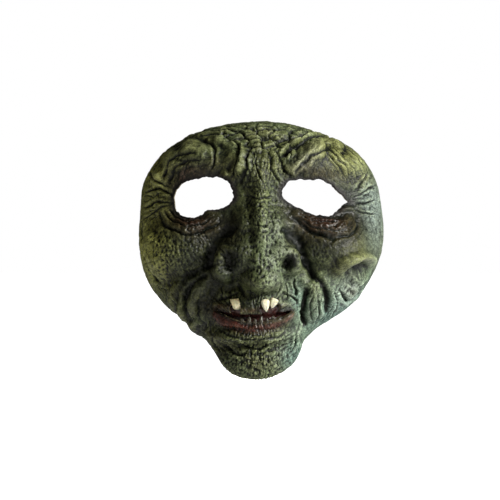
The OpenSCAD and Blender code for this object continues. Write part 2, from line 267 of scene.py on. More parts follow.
def patch(x, z, passes=6):
    """Points and normals of the face where it is seen at x, z from the front. x runs along the first axis."""
    at_x, at_z = x.copy(), z.copy()
    for _ in range(passes):
        points, normal = shape(*to_disc(at_x, at_z))[:2]
        at_x += 0.8 * (x - points[..., 0])
        at_z += 0.8 * (z - points[..., 2])
    return points, normal


def spot_on_face(x, z):
    """One point of the face and its normal."""
    q = np.array([0.0, 0.5])
    points, normal = patch(*np.meshgrid(x + q, z + q, indexing="ij"))
    return points[0, 0], normal[0, 0]


# ---------------------------------------------------------------- wrinkles
# Folds and wrinkles, in front-view millimetres: kind, half width, height, points.
# A roll is a raised sausage, a slot is a groove, a cut is a groove between puffed sides, and a fold is
# steep on its right-hand side, going along its points.
STROKES = [
    # right brow's rolls
    ("roll", 6.5, 5, [(-79, 9), (-75, 24), (-65, 36), (-52, 41), (-43, 38), (-39, 31)]),
    ("slot", 1.6, 1.6, [(-86, 12), (-80, 29), (-68, 43), (-52, 49), (-43, 46), (-37, 39)]),
    ("roll", 5.5, 4.6, [(-40, 49), (-28, 45), (-20, 35), (-22, 22), (-31, 16)]),
    ("roll", 4, 4.5, [(-21, 48), (-12, 39), (-12, 28), (-18, 16)]),
    ("cut", 2, 1.4, [(-45, 50), (-38, 44), (-34, 36), (-34, 28), (-39, 23)]),
    ("cut", 2, 1.9, [(-31, 53), (-19, 45), (-14.5, 33), (-21, 15)]),
    ("cut", 1.6, 1.6, [(-74, 14), (-69, 26), (-58, 34), (-46, 35)]),
    ("cut", 1.4, 1.3, [(-70, 12), (-64, 23), (-54, 29.5), (-44, 30)]),
    # left brow's rolls
    ("roll", 5, 4, [(21, 17), (30, 26), (42, 35), (53, 42)]),
    ("roll", 3.8, 3.6, [(20, 40), (30, 44), (38, 49), (47, 53)]),
    ("roll", 7, 3.8, [(35, 36), (46, 43), (58, 46), (68, 42)]),
    ("cut", 2.6, 3, [(17, 30), (23, 37), (32, 42), (43, 49), (52, 50)]),
    ("cut", 2, 2, [(27, 19), (37, 29), (47, 35), (54, 38)]),
    ("cut", 2, 2.2, [(24, 46), (33, 50), (42, 55)]),
    ("cut", 2, 2.4, [(30, 34), (29, 41), (35, 46)]),
    ("roll", 7, 3, [(62, 22), (74, 28), (84, 22), (90, 8)]),
    # frown
    ("cut", 2.2, 2.2, [(-6, 42), (-9, 31), (-10, 21), (-15, 12)]),
    ("cut", 2.2, 2.2, [(5, 43), (9, 32), (11, 22), (16, 13)]),
    ("cut", 2, 2.2, [(14, 37), (18, 28), (24, 17)]),
    ("cut", 1.6, 1.7, [(1.5, 37), (-1.5, 29), (1, 20), (4, 12)]),
    ("roll", 2.6, 1.7, [(-2.5, 36), (-3.5, 26), (-4, 15)]),
    ("roll", 2.6, 1.7, [(3.5, 36), (4.5, 25), (7, 15)]),
    ("roll", 3, 2, [(11, 40), (13, 29), (18, 18)]),
    # forehead
    ("cut", 1.8, 2.2, [(-17, 57), (-6, 56), (6, 57.5), (20, 55)]),
    ("cut", 1.8, 2.4, [(-13, 49.5), (-3, 48), (8, 50), (19, 47.5)]),
    ("cut", 1.8, 2.4, [(-9, 41), (2, 40.5), (16, 42.5)]),
    ("cut", 1.8, 2, [(-83, 32), (-66, 48), (-43, 56), (-17, 58.5)]),
    ("cut", 1.8, 2, [(-62, 47), (-46, 53.5), (-29, 55.5), (-16, 54)]),
    ("cut", 1.6, 1.7, [(-47, 49.5), (-35, 52), (-22, 51.5)]),
    ("cut", 1.8, 2, [(18, 58), (35, 56.5), (53, 54), (69, 46)]),
    ("cut", 1.6, 1.9, [(22, 52), (31, 55), (47, 53)]),
    ("cut", 1.5, 1.9, [(52, 37), (58, 29), (66, 19)]),
    ("cut", 1.5, 1.9, [(56, 39), (63, 30), (71, 21)]),
    ("cut", 1.5, 1.7, [(66, 42), (75, 35), (81, 25)]),
    ("cut", 1.5, 1.5, [(72, 44), (81, 35), (87, 20)]),
    # crow's feet
    ("cut", 2, 1.9, [(-66, 4), (-77, 9), (-91, 8)]),
    ("cut", 2, 2, [(-67, -1), (-79, -1), (-93, -5)]),
    ("cut", 1.8, 2, [(-68, -4), (-80, -8), (-92, -15)]),
    ("cut", 1.8, 1.8, [(-70, 9), (-80, 17), (-88, 27)]),
    ("cut", 1.8, 2, [(73, 1), (82, 6), (93, 12)]),
    ("cut", 1.8, 2, [(74, -3), (85, -3), (96, 1)]),
    ("cut", 1.8, 2, [(76, 6), (80, 13), (86, 22)]),
    ("cut", 1.8, 2, [(73, -7), (84, -11), (95, -12)]),
    # eye bags
    ("roll", 5, 3, [(-75, -4), (-72, -14), (-62, -20.5), (-50, -21.5), (-39, -16), (-29, -9)]),
    ("cut", 2.6, 1.7, [(-78, -8), (-74, -19), (-61, -27), (-48, -28), (-37, -22), (-26, -14)]),
    ("cut", 1.3, 1.8, [(-70, -7), (-64, -14), (-53, -18), (-42, -14.5)]),
    ("cut", 1.2, 1.6, [(-73, -10), (-65, -18.5), (-53, -23), (-42, -20), (-35, -14)]),
    ("roll", 5, 3, [(25, -9), (36, -14.5), (47, -20), (58, -22), (67, -19)]),
    ("cut", 2.6, 1.7, [(24, -13), (36, -21), (48, -28), (60, -30), (72, -27), (78, -16)]),
    ("cut", 1.3, 1.8, [(31, -13), (43, -17.5), (55, -19.5), (63, -16)]),
    ("cut", 1.2, 1.6, [(32, -16), (44, -22), (56, -25), (66, -25)]),
    ("roll", 4.4, 6, [(67, -19), (69.5, -17.5)]),
    ("roll", 2.6, 3, [(62, -10), (68, -7), (74, -9), (76, -15)]),
    # folds from the nose round the mouth
    ("fold", 8, 6, [(-34, -52), (-43, -59), (-52, -67), (-58, -78), (-56, -92), (-48, -104)]),
    ("cut", 6, 7, [(-36, -55), (-46, -62), (-54, -71), (-57, -82), (-51, -98)]),
    ("cut", 2.2, 1.3, [(-41, -71), (-46, -80), (-45, -90), (-40, -100)]),
    ("cut", 2.4, 3.4, [(-70, -64), (-69, -77), (-61, -91)]),
    ("slot", 2.8, 5.5, [(17, -20), (25, -27), (32, -35), (35.5, -45), (40, -55), (48, -64)]),
    ("slot", 6, 3, [(37, -46), (41, -56), (40, -66)]),
    ("slot", 2.6, 6, [(44, -60), (51, -68), (54, -79), (53, -90)]),
    ("slot", 2.6, 7, [(37, -66), (35.5, -76), (35.5, -88), (37, -102)]),
    ("roll", 6, 2.6, [(44, -70), (45, -82), (45, -96)]),
    ("cut", 1.4, 1.6, [(42, -72), (41, -84), (42, -96)]),
    ("cut", 1.3, 1.5, [(47, -74), (47, -85), (46, -99)]),
    ("cut", 1.8, 1.6, [(58, -70), (62, -82), (57, -96)]),
    # right cheek's ball and its rim
    ("cut", 2.2, 2.6, [(-93, -16), (-91.5, -36), (-85, -56), (-76, -66)]),
    ("roll", 5, 2.6, [(-87, -14), (-85, -36), (-78, -54), (-70, -64)]),
    # left cheek's pocket
    ("roll", 4, 3.8, [(60, -57), (64, -49), (76, -44), (87, -45), (90, -51), (86, -58)]),
    ("cut", 6, 6.5, [(66, -59), (73, -55), (81, -53), (87, -53)]),
    ("roll", 2.6, 2.6, [(64, -66), (74, -67), (83, -62), (88, -55)]),
    ("roll", 4.2, 5, [(71, -73), (73, -71)]),
    ("cut", 2, 2.6, [(64, -70), (70, -79), (79, -76), (82, -69)]),
    # nose
    ("slot", 3.4, 3.4, [(-17, -19), (-27, -25), (-34.5, -34), (-37.5, -45), (-35, -58)]),
    ("roll", 3.4, 2.7, [(-17, -39), (-25, -38), (-31, -43), (-32, -51), (-26, -58), (-18, -59)]),
    ("roll", 2.6, 2.4, [(17, -42), (22, -40), (28, -41), (31, -46), (30, -52), (25, -55), (19, -55)]),
    ("cut", 2, 2, [(-13, -62), (-14, -68), (-12, -75)]),
    ("cut", 1.8, 1.8, [(16, -60), (17, -66), (14, -74)]),
    ("cut", 1.5, 1.6, [(-11, 3), (0, 1), (12, 4)]),
    ("cut", 1.4, 1.4, [(-8, -19), (2, -21), (12, -18)]),
    # mouth and chin
    ("cut", 1.8, 1.3, [(-14, -72), (-24, -75), (-34, -82)]),
    ("cut", 1.6, 1.2, [(17, -70), (25, -74), (31, -82)]),
    ("cut", 1.3, 1.5, [(-29, -66), (-27, -73), (-29, -81)]),
    ("cut", 1.3, 1.5, [(-22, -67), (-21, -74), (-23, -80)]),
    ("cut", 1.3, 1.5, [(22, -64), (23, -71), (21, -79)]),
    ("cut", 1.3, 1.5, [(28, -60), (29, -68), (27, -77)]),
    ("cut", 2, 1.2, [(-30, -103), (-14, -107.5), (6, -107.5), (24, -100)]),
    ("cut", 1.8, 1.2, [(-26, -109), (-9, -113), (9, -112.5), (24, -105)]),
    ("cut", 1.8, 1.3, [(-31, -112), (-17, -118), (1, -118.5), (17, -115)]),
    ("cut", 2, 2.4, [(-39, -94), (-36, -108), (-31, -122)]),
    ("cut", 2, 2.4, [(32, -94), (30, -108), (26, -121)]),
]
LIP = ("roll", 3.4, 2.8, [(-36, -86), (-28, -93), (-15, -97.6), (-1, -98.8), (13, -96), (22, -90.5),
                          (28.5, -84)])
UPPER_LIP = ("roll", 2.4, 1.6, [(-35, -83), (-25, -82), (-12, -85), (1, -85), (17, -82), (28, -81)])

# Fine creases: where they are (x, z, half width, half height, turn), how they run (along a line at an angle,
# or round or out from a point), how long they are, how far apart, and how deep
CREASES = [
    ((0, 56, 66, 8, 0), ("round", 0, -30), 14, 3.3, 0.9),
    ((-66, 32, 20, 15, 35), ("round", -48, 14), 12, 2.9, 1),
    ((-42, 28, 22, 8, 10), ("round", -44, 0), 6, 2.6, 0.5),
    ((40, 42, 24, 12, 20), ("line", 42), 9, 3, 1.3),
    ((70, 29, 17, 16, -40), ("line", -47), 15, 2.9, 1),
    ((-83, 3, 14, 22, 0), ("out", -50, 0), 9, 3, 1.1),
    ((86, 2, 13, 20, 0), ("out", 52, 2), 9, 3, 1.1),
    ((3, 28, 22, 16, 0), ("line", 86), 8, 3, 1),
    ((44, -36, 17, 11, -40), ("line", -56), 13, 2.6, 0.8),
    ((76, -58, 9, 6, 30), ("line", 65), 6, 2.2, 0.5),
    ((62, -84, 24, 22, 30), ("line", 62), 11, 2.5, 1.1),
    ((44, -84, 8, 20, 0), ("line", 84), 10, 2.3, 0.9),
    ((-55, -42, 17, 24, -20), ("line", -62), 8, 2.4, 1),
    ((-46, -88, 14, 22, 15), ("line", 78), 9, 2.5, 1),
    ((-68, -78, 12, 18, 30), ("line", -60), 9, 2.7, 0.8),
    ((-4, -82, 36, 9, 0), ("out", -4, -100), 6, 2.3, 1),
    ((-4, -103, 36, 7, 0), ("out", -4, -82), 5, 2.2, 1.1),
    ((-4, -112, 34, 12, 0), ("round", -4, -60), 9, 2.5, 1.1),
    ((-4, -127, 32, 16, 0), ("line", 60), 5, 2.6, 0.9),
    ((-18, -42, 10, 20, 0), ("line", 80), 6, 2.6, 0.5),
    ((-54, -18, 24, 9, 0), ("round", -48, 6), 8, 1.7, 0.9),
    ((50, -19, 27, 9, -8), ("round", 46, 12), 8, 1.7, 0.9),
]
CREASE_WIDTH = 0.5
# Cracked, block-like skin: where, the blocks' width and height, and the cracks' depth
BLOCKS = [
    ((4, 50, 24, 10, 0), 12.5, 8, 3), ((38, 50, 20, 7, 20), 8, 4.2, 1.4),
    ((-4, -124, 30, 18, 0), 4.6, 3.4, 1), ((4, 20, 16, 12, 0), 5, 4.5, 0.8),
    ((2, -6, 12, 16, 0), 4.4, 4, 0.8),
]


def stroke_height(x, z, kind, width, high, points, uneven=0.0):
    line = smooth_line(points)
    reach = 3.2 * width
    lo, hi = line.min(0) - reach, line.max(0) + reach
    inside = (x > lo[0]) & (x < hi[0]) & (z > lo[1]) & (z < hi[1])
    px, pz = x[inside], z[inside]
    best = np.full(px.shape, 1e9)
    along = np.zeros(px.shape)
    side = np.zeros(px.shape)
    seg = np.diff(line, axis=0)
    length = np.hypot(*seg.T)
    start = np.concatenate([[0], np.cumsum(length)])
    for k in range(len(seg)):
        dx, dz = px - line[k, 0], pz - line[k, 1]
        t = np.clip((dx * seg[k, 0] + dz * seg[k, 1]) / length[k] ** 2, 0, 1)
        d = np.hypot(dx - t * seg[k, 0], dz - t * seg[k, 1])
        closer = d < best
        best = np.where(closer, d, best)
        along = np.where(closer, start[k] + t * length[k], along)
        side = np.where(closer, np.sign(seg[k, 0] * dz - seg[k, 1] * dx), side)
    taper_len = min(9.0, 0.45 * start[-1])
    taper = step(0, taper_len, along + 1.2) * step(0, taper_len, start[-1] - along + 1.2)
    seed = int(7 * abs(line[0, 0]) + 3 * abs(line[-1, 1]))
    d = best / (width * (1 + uneven * noise(along / 12, 0 * along, seed)))
    high = high * (1 + 1.3 * uneven * noise(along / 9, 0 * along + 3, seed))
    if kind == "roll":
        profile = np.exp(-(d**2))
    elif kind == "slot":
        profile = -np.exp(-(d**2))
    elif kind == "cut":
        profile = 0.42 * np.exp(-(((d - 1.15) / 0.75) ** 2)) - np.exp(-((d / 0.48) ** 2))
    else:
        profile = np.where(side > 0, np.exp(-(d**2)), np.exp(-((d / 0.4) ** 2)))
        profile = profile - 0.5 * np.exp(-(((side * d + 0.75) / 0.4) ** 2))
    out = np.zeros(x.shape)
    out[inside] = high * profile * taper
    return out


def crease_height(x, z, way, long, apart, seed):
    """Wandering, branching grooves of depth 1 and even width, along the zero lines of stretched noise."""

    def field(px, pz):
        if way[0] == "line":
            c, s = cos_sin(way[1])
            u, v = px * c + pz * s, pz * c - px * s
        else:
            far = np.hypot(px - way[1], pz - way[2])
            turn = np.arctan2(pz - way[2], px - way[1]) * 30
            u, v = (turn, far) if way[0] == "round" else (far, turn)
        v = v + 0.9 * noise(px / 7, pz / 7, seed + 5)
        return noise(u / long, v / apart, seed) + 0.5 * noise(u / long * 2.3, v / apart * 1.9, seed + 1)

    n = field(x, z)
    e = 0.2
    slope = np.hypot(field(x + e, z) - n, field(x, z + e) - n) / e
    return np.exp(-((n / (np.maximum(slope, 0.1) * CREASE_WIDTH)) ** 2))


def fine_height(x, z, ux, uz, points):
    """Creases and cracked blocks, each on its own part of the face. ux and uz are unrolled."""
    h = np.zeros(x.shape)
    depth_drift = 0.8 + 0.45 * noise(ux / 6, uz / 6, 33)
    for k, (where, way, long, apart, deep) in enumerate(CREASES):
        strength = spot(x, z, *where)
        near = strength > 0.03
        strength = np.clip(1.6 * strength[near], 0, 1) * deep
        grooves = crease_height(ux[near], uz[near], way, long, apart, 200 + 10 * k)
        h[near] -= strength * depth_drift[near] * grooves
    for k, (where, wide, tall, deep) in enumerate(BLOCKS):
        bend = [1.4 * noise(x / 5, z / 5, 400 + k), 0 * x, 1.4 * noise(x / 5, z / 5, 410 + k)]
        size = np.array([wide, 0.5 * (wide + tall), tall])
        near, second, _ = cells((points + np.stack(bend, -1)) / size, 420 + k)
        h -= np.clip(1.5 * spot(x, z, *where), 0, 1) * deep * np.exp(-(((second - near) / 0.13) ** 2))
    return h


# ---------------------------------------------------------------- the holes
# Each eye hole: its centre's x and z, the distance to its edge every 22.5 degrees, and its outer corner's
# angle, how far out it reaches and its half width in degrees
EYES = [
    (-43, 1, [23.6, 23.5, 21.5, 17.5, 15.8, 16, 18.3, 21.2, 23, 22.5, 20, 16.5, 12.6, 10.6, 13.2, 18.5],
     (180, 0, 5)),
    (44, 2, [22.3, 17, 15, 14.1, 13.6, 14, 19, 25, 25, 17.6, 14.2, 13.4, 13.8, 16.2, 19.3, 21.8],
     (-7, 3.8, 5.5)),
]
# The mouth is a thin smile with two notches above it, where the teeth come out
SMILE = {"x": -3.5, "z": -91.6, "half_wide": 30.5, "half_high": 3.3, "curl": 6.6}
NOTCHES = [(-17.8, -84, 4.6, 5.6), (9, -84, 8.2, 5.8)]


def hole_level(x, z, hole):
    """1 on the hole's edge, less inside it."""
    a = np.arctan2(z - hole[1], x - hole[0])
    ragged = 0.55 * noise(x / 1.6, z / 1.6, 51) + 0.7 * noise(x / 4, z / 4, 52)
    return np.hypot(x - hole[0], z - hole[1]) / (ring(hole[2], a) + bump_at(a, *hole[3]) + ragged)


def mouth_level(x, z):
    """1 on the mouth's edge, less inside it."""
    u = (x - SMILE["x"]) / SMILE["half_wide"]
    half = SMILE["half_high"] * (1 - u * u) + 0.35 * noise(x / 2.4, z / 2.4, 53)
    level = 1 + (np.abs(z - SMILE["z"] - SMILE["curl"] * u * u) - half) / 5
    for cx, cz, wx, wz in NOTCHES:
        level = np.minimum(level, np.hypot((x - cx) / wx, (z - cz) / wz))
    return level


# ---------------------------------------------------------------- meshes
def make_mesh(name, verts_mm, faces):
    mesh = bpy.data.meshes.new(name)
    mesh.from_pydata((np.asarray(verts_mm) * MM).tolist(), [], [list(map(int, f)) for f in faces])
    mesh.update()
    mesh.polygons.foreach_set("use_smooth", [True] * len(mesh.polygons))
    obj = bpy.data.objects.new(name, mesh)
    bpy.context.scene.collection.objects.link(obj)
    return obj


def paint(obj, name, values):
    """Stores one colour per vertex. values has 3 columns."""
    layer = obj.data.color_attributes.new(name, "FLOAT_COLOR", "POINT")
    rgba = np.ones((len(values), 4), np.float32)
    rgba[:, :3] = values
    layer.data.foreach_set("color", rgba.ravel())


def neighbours(field):
    """Four grids that hold each point's neighbours, with the border repeated."""
    padded = np.pad(field, [(1, 1), (1, 1)] + [(0, 0)] * (field.ndim - 2), mode="edge")
    return [padded[2:, 1:-1], padded[:-2, 1:-1], padded[1:-1, 2:], padded[1:-1, :-2]]


def cell_corners(grid):
    """The values on each cell's four corners, in order round the cell."""
    return np.stack([grid[:-1, :-1], grid[1:, :-1], grid[1:, 1:], grid[:-1, 1:]], -1)


def cells_of_grid(rows, cols):
    """The point numbers on each cell's four corners."""
    return cell_corners(np.arange(rows * cols).reshape(rows, cols))


def cut_grid(level):
    """Cuts holes out of a grid along level 0. Returns how far each point moves towards each neighbour, and
    the faces that are left."""
    move = np.zeros(level.shape + (4,))
    hits = np.zeros(level.shape)
    for k, other in enumerate(neighbours(level)):
        hit = (level * other < 0) & (np.abs(level) <= np.abs(other))
        move[..., k] = np.where(hit, level / np.where(hit, level - other, 1), 0)
        hits += hit
    move /= np.maximum(hits, 1)[..., None]
    state = np.where(hits > 0, 0, np.sign(level)).astype(int)
    corner, s = cells_of_grid(*level.shape), cell_corners(state)
    whole = (s.min(-1) >= 0) & (s.max(-1) > 0)
    mixed = (s.min(-1) < 0) & (s.max(-1) > 0)
    faces = [tuple(q) for q in corner[whole]]
    for q, sq in zip(corner[mixed], s[mixed]):
        # a cell is split between the two corners that lie on the hole's edge
        falls = sq[1] == 0 and sq[3] == 0
        for part in ((0, 1, 3), (1, 2, 3)) if falls else ((0, 1, 2), (0, 2, 3)):
            if max(sq[c] for c in part) > 0:
                faces.append(tuple(q[c] for c in part))
    return move, faces


def apply_move(field, move):
    """Moves a grid's points, or the colours on them, as cut_grid says."""
    out = field.copy()
    for k, other in enumerate(neighbours(field)):
        out = out + (other - field) * move[..., k, None]
    return out


def close_shell(points, faces):
    """Joins two sides that share faces. points holds the outer side's, then the inner side's. Returns the
    points in use, all faces, and which points those were."""
    count = len(points) // 2
    edges = dict.fromkeys((a, b) for f in faces for a, b in zip(f, f[1:] + f[:1]))
    walls = [(b, a, a + count, b + count) for a, b in edges if (b, a) not in edges]
    every = list(faces) + [tuple(i + count for i in reversed(f)) for f in faces] + walls
    used = np.unique(np.concatenate([np.asarray(f) for f in every]))
    renumber = np.full(len(points), -1)
    renumber[used] = np.arange(len(used))
    return points[used], [tuple(renumber[list(f)]) for f in every], used


# ---------------------------------------------------------------- the latex face
# Spots of pores, of paint and of painted light and shade: strength, centre, half width, half height and turn.
# The pores are deepest down the nose, on the cheeks and on the chin
PORES = [
    (1.2, 2, -34, 13, 44), (0.6, -24, -48, 12, 14), (0.6, 26, -44, 9, 14), (0.6, -68, -42, 20, 22),
    (1.0, -2, -124, 30, 17), (0.5, 44, -40, 18, 18), (0.5, -44, -46, 18, 20),
]
BIG_PORE_CELL = (2.4, 3.0, 3.8)
SMALL_PORE_CELL = (1.5, 1.6, 1.8)
# teal paint with a painted pool of cool side light, on the left cheek and the chin
TEAL = [(1, 64, -88, 34, 18, 34), (0.7, 27, -124, 10, 14), (0.6, 30, -76, 8, 14)]
BAGS = [(1, -54, -18, 27, 12, -8), (1, 50, -19, 29, 13, -8)]
LIP_ENDS = [(1, -23, -91, 13, 5.5, -28), (0.4, -4, -98, 22, 4)]
# painted shade in the nostrils
NOSTRILS = [(0.7, -20.5, -48.5, 4.5, 7), (2.2, 24, -48, 4, 4.8, -20)]
# Painted shade, airbrushed between the nose and the cheeks
SHADE = [
    (1, -36, -34, 22, 32, -20), (0.95, -48, -74, 18, 28), (0.9, 34, -26, 9, 22), (1, -46, -2, 30, 26),
    (1, 46, -4, 34, 20), (1.5, 60, -23, 22, 20), (0.6, 68, 0, 13, 11), (0.35, 58, -53, 15, 13),
    (0.35, 3, 20, 15, 14), (0.25, 0, 46, 34, 13), (0.6, -14, -46, 12, 30), (0.5, -20, -110, 24, 16),
    (0.5, 44, -34, 12, 22, -40), (0.7, -30, -52, 9, 12), (1, -4, -82, 13, 7), (0.4, 52, -80, 22, 16),
    (0.8, 76, -56, 9, 6, 25),
]
BASE_COAT = (0.078, 0.084, 0.025)
# What is sprayed over the base coat, in order: colour, strength and spots. Most of these coats also paint light
# and shade: highlights, cool side light and the shade under the brows.
SPRAYED_AND_PAINTED_LIGHT = [
    # yellow-olive paint on the right cheek and temple, with a painted highlight along their rim
    ((0.40, 0.41, 0.11), 1, [(1, -86, -30, 17, 36), (0.8, -84, 26, 16, 22)]),
    # painted highlight on the bridge of the nose
    ((0.14, 0.16, 0.05), 0.8, [(1, 3, -8, 9, 22)]),
    # painted highlights on the left brow and the left cheek
    ((0.19, 0.20, 0.065), 1, [(0.8, 66, 36, 24, 14, -30), (0.7, 76, -36, 16, 12)]),
    # painted highlight down the ridge of the nose
    ((0.10, 0.135, 0.062), 0.8, [(1, 5, -38, 14, 40)]),
    # teal paint with a painted pool of cool side light
    ((0.135, 0.245, 0.215), 0.9, TEAL),
    # painted cool rim light along the left edge
    ((0.22, 0.275, 0.235), 1, [(0.85, 93, -16, 12, 30), (0.8, 86, 0, 13, 13)]),
    # painted highlight on the left brow's ridge
    ((0.17, 0.165, 0.14), 0.6, [(1, 34, 27, 14, 6, 35)]),
    # brown paint under the brows, with their painted shade
    ((0.045, 0.028, 0.016), 1, [(0.85, -50, 20, 24, 9, 8), (0.7, 48, 20, 26, 7, -8)]),
]


def mix(colour, target, amount):
    amount = np.clip(amount, 0, 1)[..., None]
    return colour * (1 - amount) + np.array(target) * amount


def coats(colour, layers):
    """Lays paint over paint. Each layer is a colour and how much of it there is."""
    for target, amount in layers:
        colour = mix(colour, target, amount)
    return colour


def face_detail(points, base, r, eye):
    """Height of the folds, wrinkles and pores, with the pore strength for the paint."""
    x, z = points[..., 0], points[..., 2]
    ux, uz = unroll(points, base)
    # wander keeps the listed lines from looking ruled
    ax, az = x + 1.7 * noise(x / 8, z / 8, 61), z + 1.7 * noise(x / 8, z / 8, 62)
    ax, az = ax + 0.5 * noise(x / 2.5, z / 2.5, 63), az + 0.5 * noise(x / 2.5, z / 2.5, 64)
    detail = np.zeros(x.shape)
    for stroke in STROKES + [LIP, UPPER_LIP]:
        detail += stroke_height(ax, az, *stroke, uneven=0.3)
    detail += fine_height(x, z, ux, uz, points)
    detail += 0.7 * fractal(ux / 15, uz / 15, 71, 3) + 0.3 * fractal(ux / 3.4, uz / 3.4, 72, 3)
    sides = step(0.66, 0.8, r)
    detail -= 0.7 * sides * crease_height(ux, uz, ("round", 0, CENTRE_Z), 9, 4, 500)
    detail -= 0.5 * sides * crease_height(ux, uz, ("out", 0, CENTRE_Z), 8, 5, 510)

    near, _, number = cells(points / np.array(BIG_PORE_CELL), 82)
    big_pore = np.exp(-((near / (0.27 + 0.23 * number)) ** 4)) * (number > 0.12)
    near, second, number = cells(points / np.array(SMALL_PORE_CELL), 85)
    small_pore = np.exp(-((near / 0.36) ** 4)) * (number > 0.35)
    where = np.clip(spots(x, z, PORES) + 0.15, 0, 1)
    pores = where * np.clip(1.0 * big_pore + 0.45 * small_pore, 0, 1.2)
    detail -= 1.15 * pores + 0.16 * np.exp(-(((second - near) / 0.16) ** 2))
    detail *= (0.3 + 0.7 * step(1.0, 1.12, eye)) * (0.4 + 0.6 * step(0.84, 0.62, r)) * step(1.06, 0.86, r)
    return detail, pores


def face_paint(x, z, unrolled, h, detail, pores, eye, mouth):
    """Base coat, a dark wash that also paints the shade in the grooves, pale paint brushed lightly over the
    ridges that also paints their highlights, and painted light and shade in spots. Returns colour, ridge and
    gloss.
    """
    # how deep each point lies in a groove, for the dark wash there and its painted shade
    small = detail - blur(detail, 2.2)
    broad = detail - blur(detail, 9) + 0.3 * (h - blur(h, 9))
    wash_and_shade_kept = 1 - 0.85 * spot(x, z, 74, -38, 22, 7)
    hollow = np.clip(-small * 2.4, 0, 1) * wash_and_shade_kept
    wide_hollow = np.clip(-broad / 2.2, 0, 1) * wash_and_shade_kept
    ridge = np.clip(small * 1.4, 0, 1) * 0.6 + np.clip(broad / 2.6, 0, 1) * 0.6
    ux, uz = unrolled
    patchy = fractal(ux / 14, uz / 14, 91, 4)
    fleck = fractal(ux / 2.0, uz / 2.0, 95, 3)
    shade, teal, bags = (spots(x, z, places) for places in (SHADE, TEAL, BAGS))
    shade = np.clip(shade, 0, 1)
    eye_rim = step(1.26, 1.06, eye)
    lips = stroke_height(x, z, "roll", 3.4, 1, LIP[3])
    lips = lips + 0.45 * stroke_height(x, z, "roll", 2.0, 1, UPPER_LIP[3])
    lips = np.clip(lips + spots(x, z, LIP_ENDS), 0, 1)
    # pale paint brushed lightly over the ridges, which also paints their highlights; less on the lips, the bags
    # and the painted shade
    brushed_highlight = 0.44 * ridge * (1 + 0.7 * fleck) * step(1.0, 1.5, eye)
    brushed_highlight *= (1 - np.clip(0.85 * lips + 0.9 * bags, 0, 1)) * (1 - 0.72 * shade)
    # painted highlight down the lit left side of the nose
    nose = np.clip(1.3 * spot(x, z, 15, -44, 10, 30), 0, 1)

    colour = np.zeros(x.shape + (3,)) + np.array(BASE_COAT)
    colour = mix(colour, (0.08, 0.105, 0.045), 0.5 + 0.5 * patchy)
    colour = coats(colour, [(target, strength * spots(x, z, places)) for target, strength, places in SPRAYED_AND_PAINTED_LIGHT])
    # painted shade darkens the coats
    colour = colour * (1 - 0.76 * shade)[..., None]
    colour = coats(colour, [
        ((0.020, 0.007, 0.005), 0.96 * bags),
        # the wart, pale with a dark middle
        ((0.30, 0.32, 0.28), 0.6 * spot(x, z, 72, -72, 9, 9)),
        ((0.028, 0.020, 0.018), spot(x, z, 72, -73, 4.6, 4.6)),
        # a raw patch over the right eye
        ((0.17, 0.10, 0.08), spot(x, z, -59, 18, 11, 5, 38) * np.clip(0.35 + 0.8 * fleck, 0, 0.8)),
        ((0.022, 0.016, 0.017), 0.9 * eye_rim),
        ((0.052, 0.011, 0.009), 0.97 * lips),
    ])
    # painted highlight on the ridges
    colour = colour * (1 + 0.9 * ridge[..., None])
    colour = coats(colour, [
        # brushed pale paint and painted highlight on the ridges
        ((0.34, 0.36, 0.17), brushed_highlight),
        # painted teal highlight on the ridges, in the cool side light
        ((0.46, 0.60, 0.52), 1.6 * brushed_highlight * np.clip(teal, 0, 1)),
        # painted highlight down the nose
        ((0.27, 0.32, 0.23), nose * np.clip(0.22 + 0.25 * fleck + 0.7 * ridge, 0, 0.55)),
        # dark wash in the grooves and hollows, with their painted shade
        ((0.004, 0.006, 0.003), 0.96 * hollow + 0.85 * wide_hollow),
        # dark wash in the pores, with their painted shade
        ((0.003, 0.005, 0.003), 0.97 * pores),
        ((0.012, 0.015, 0.009), 0.4 * np.clip(fleck, 0, 1)),
        # painted shade in the nostrils
        ((0.004, 0.005, 0.003), spots(x, z, NOSTRILS)),
        # painted shade at the edge of the mouth's opening
        ((0.012, 0.007, 0.006), step(1.25, 0.98, mouth)),
        ((0.006, 0.005, 0.005), 0.9 * step(1.12, 1.03, eye)),
    ])
    return colour, np.clip(ridge, 0, 1), np.clip(bags + lips, 0, 1) - 0.8 * eye_rim


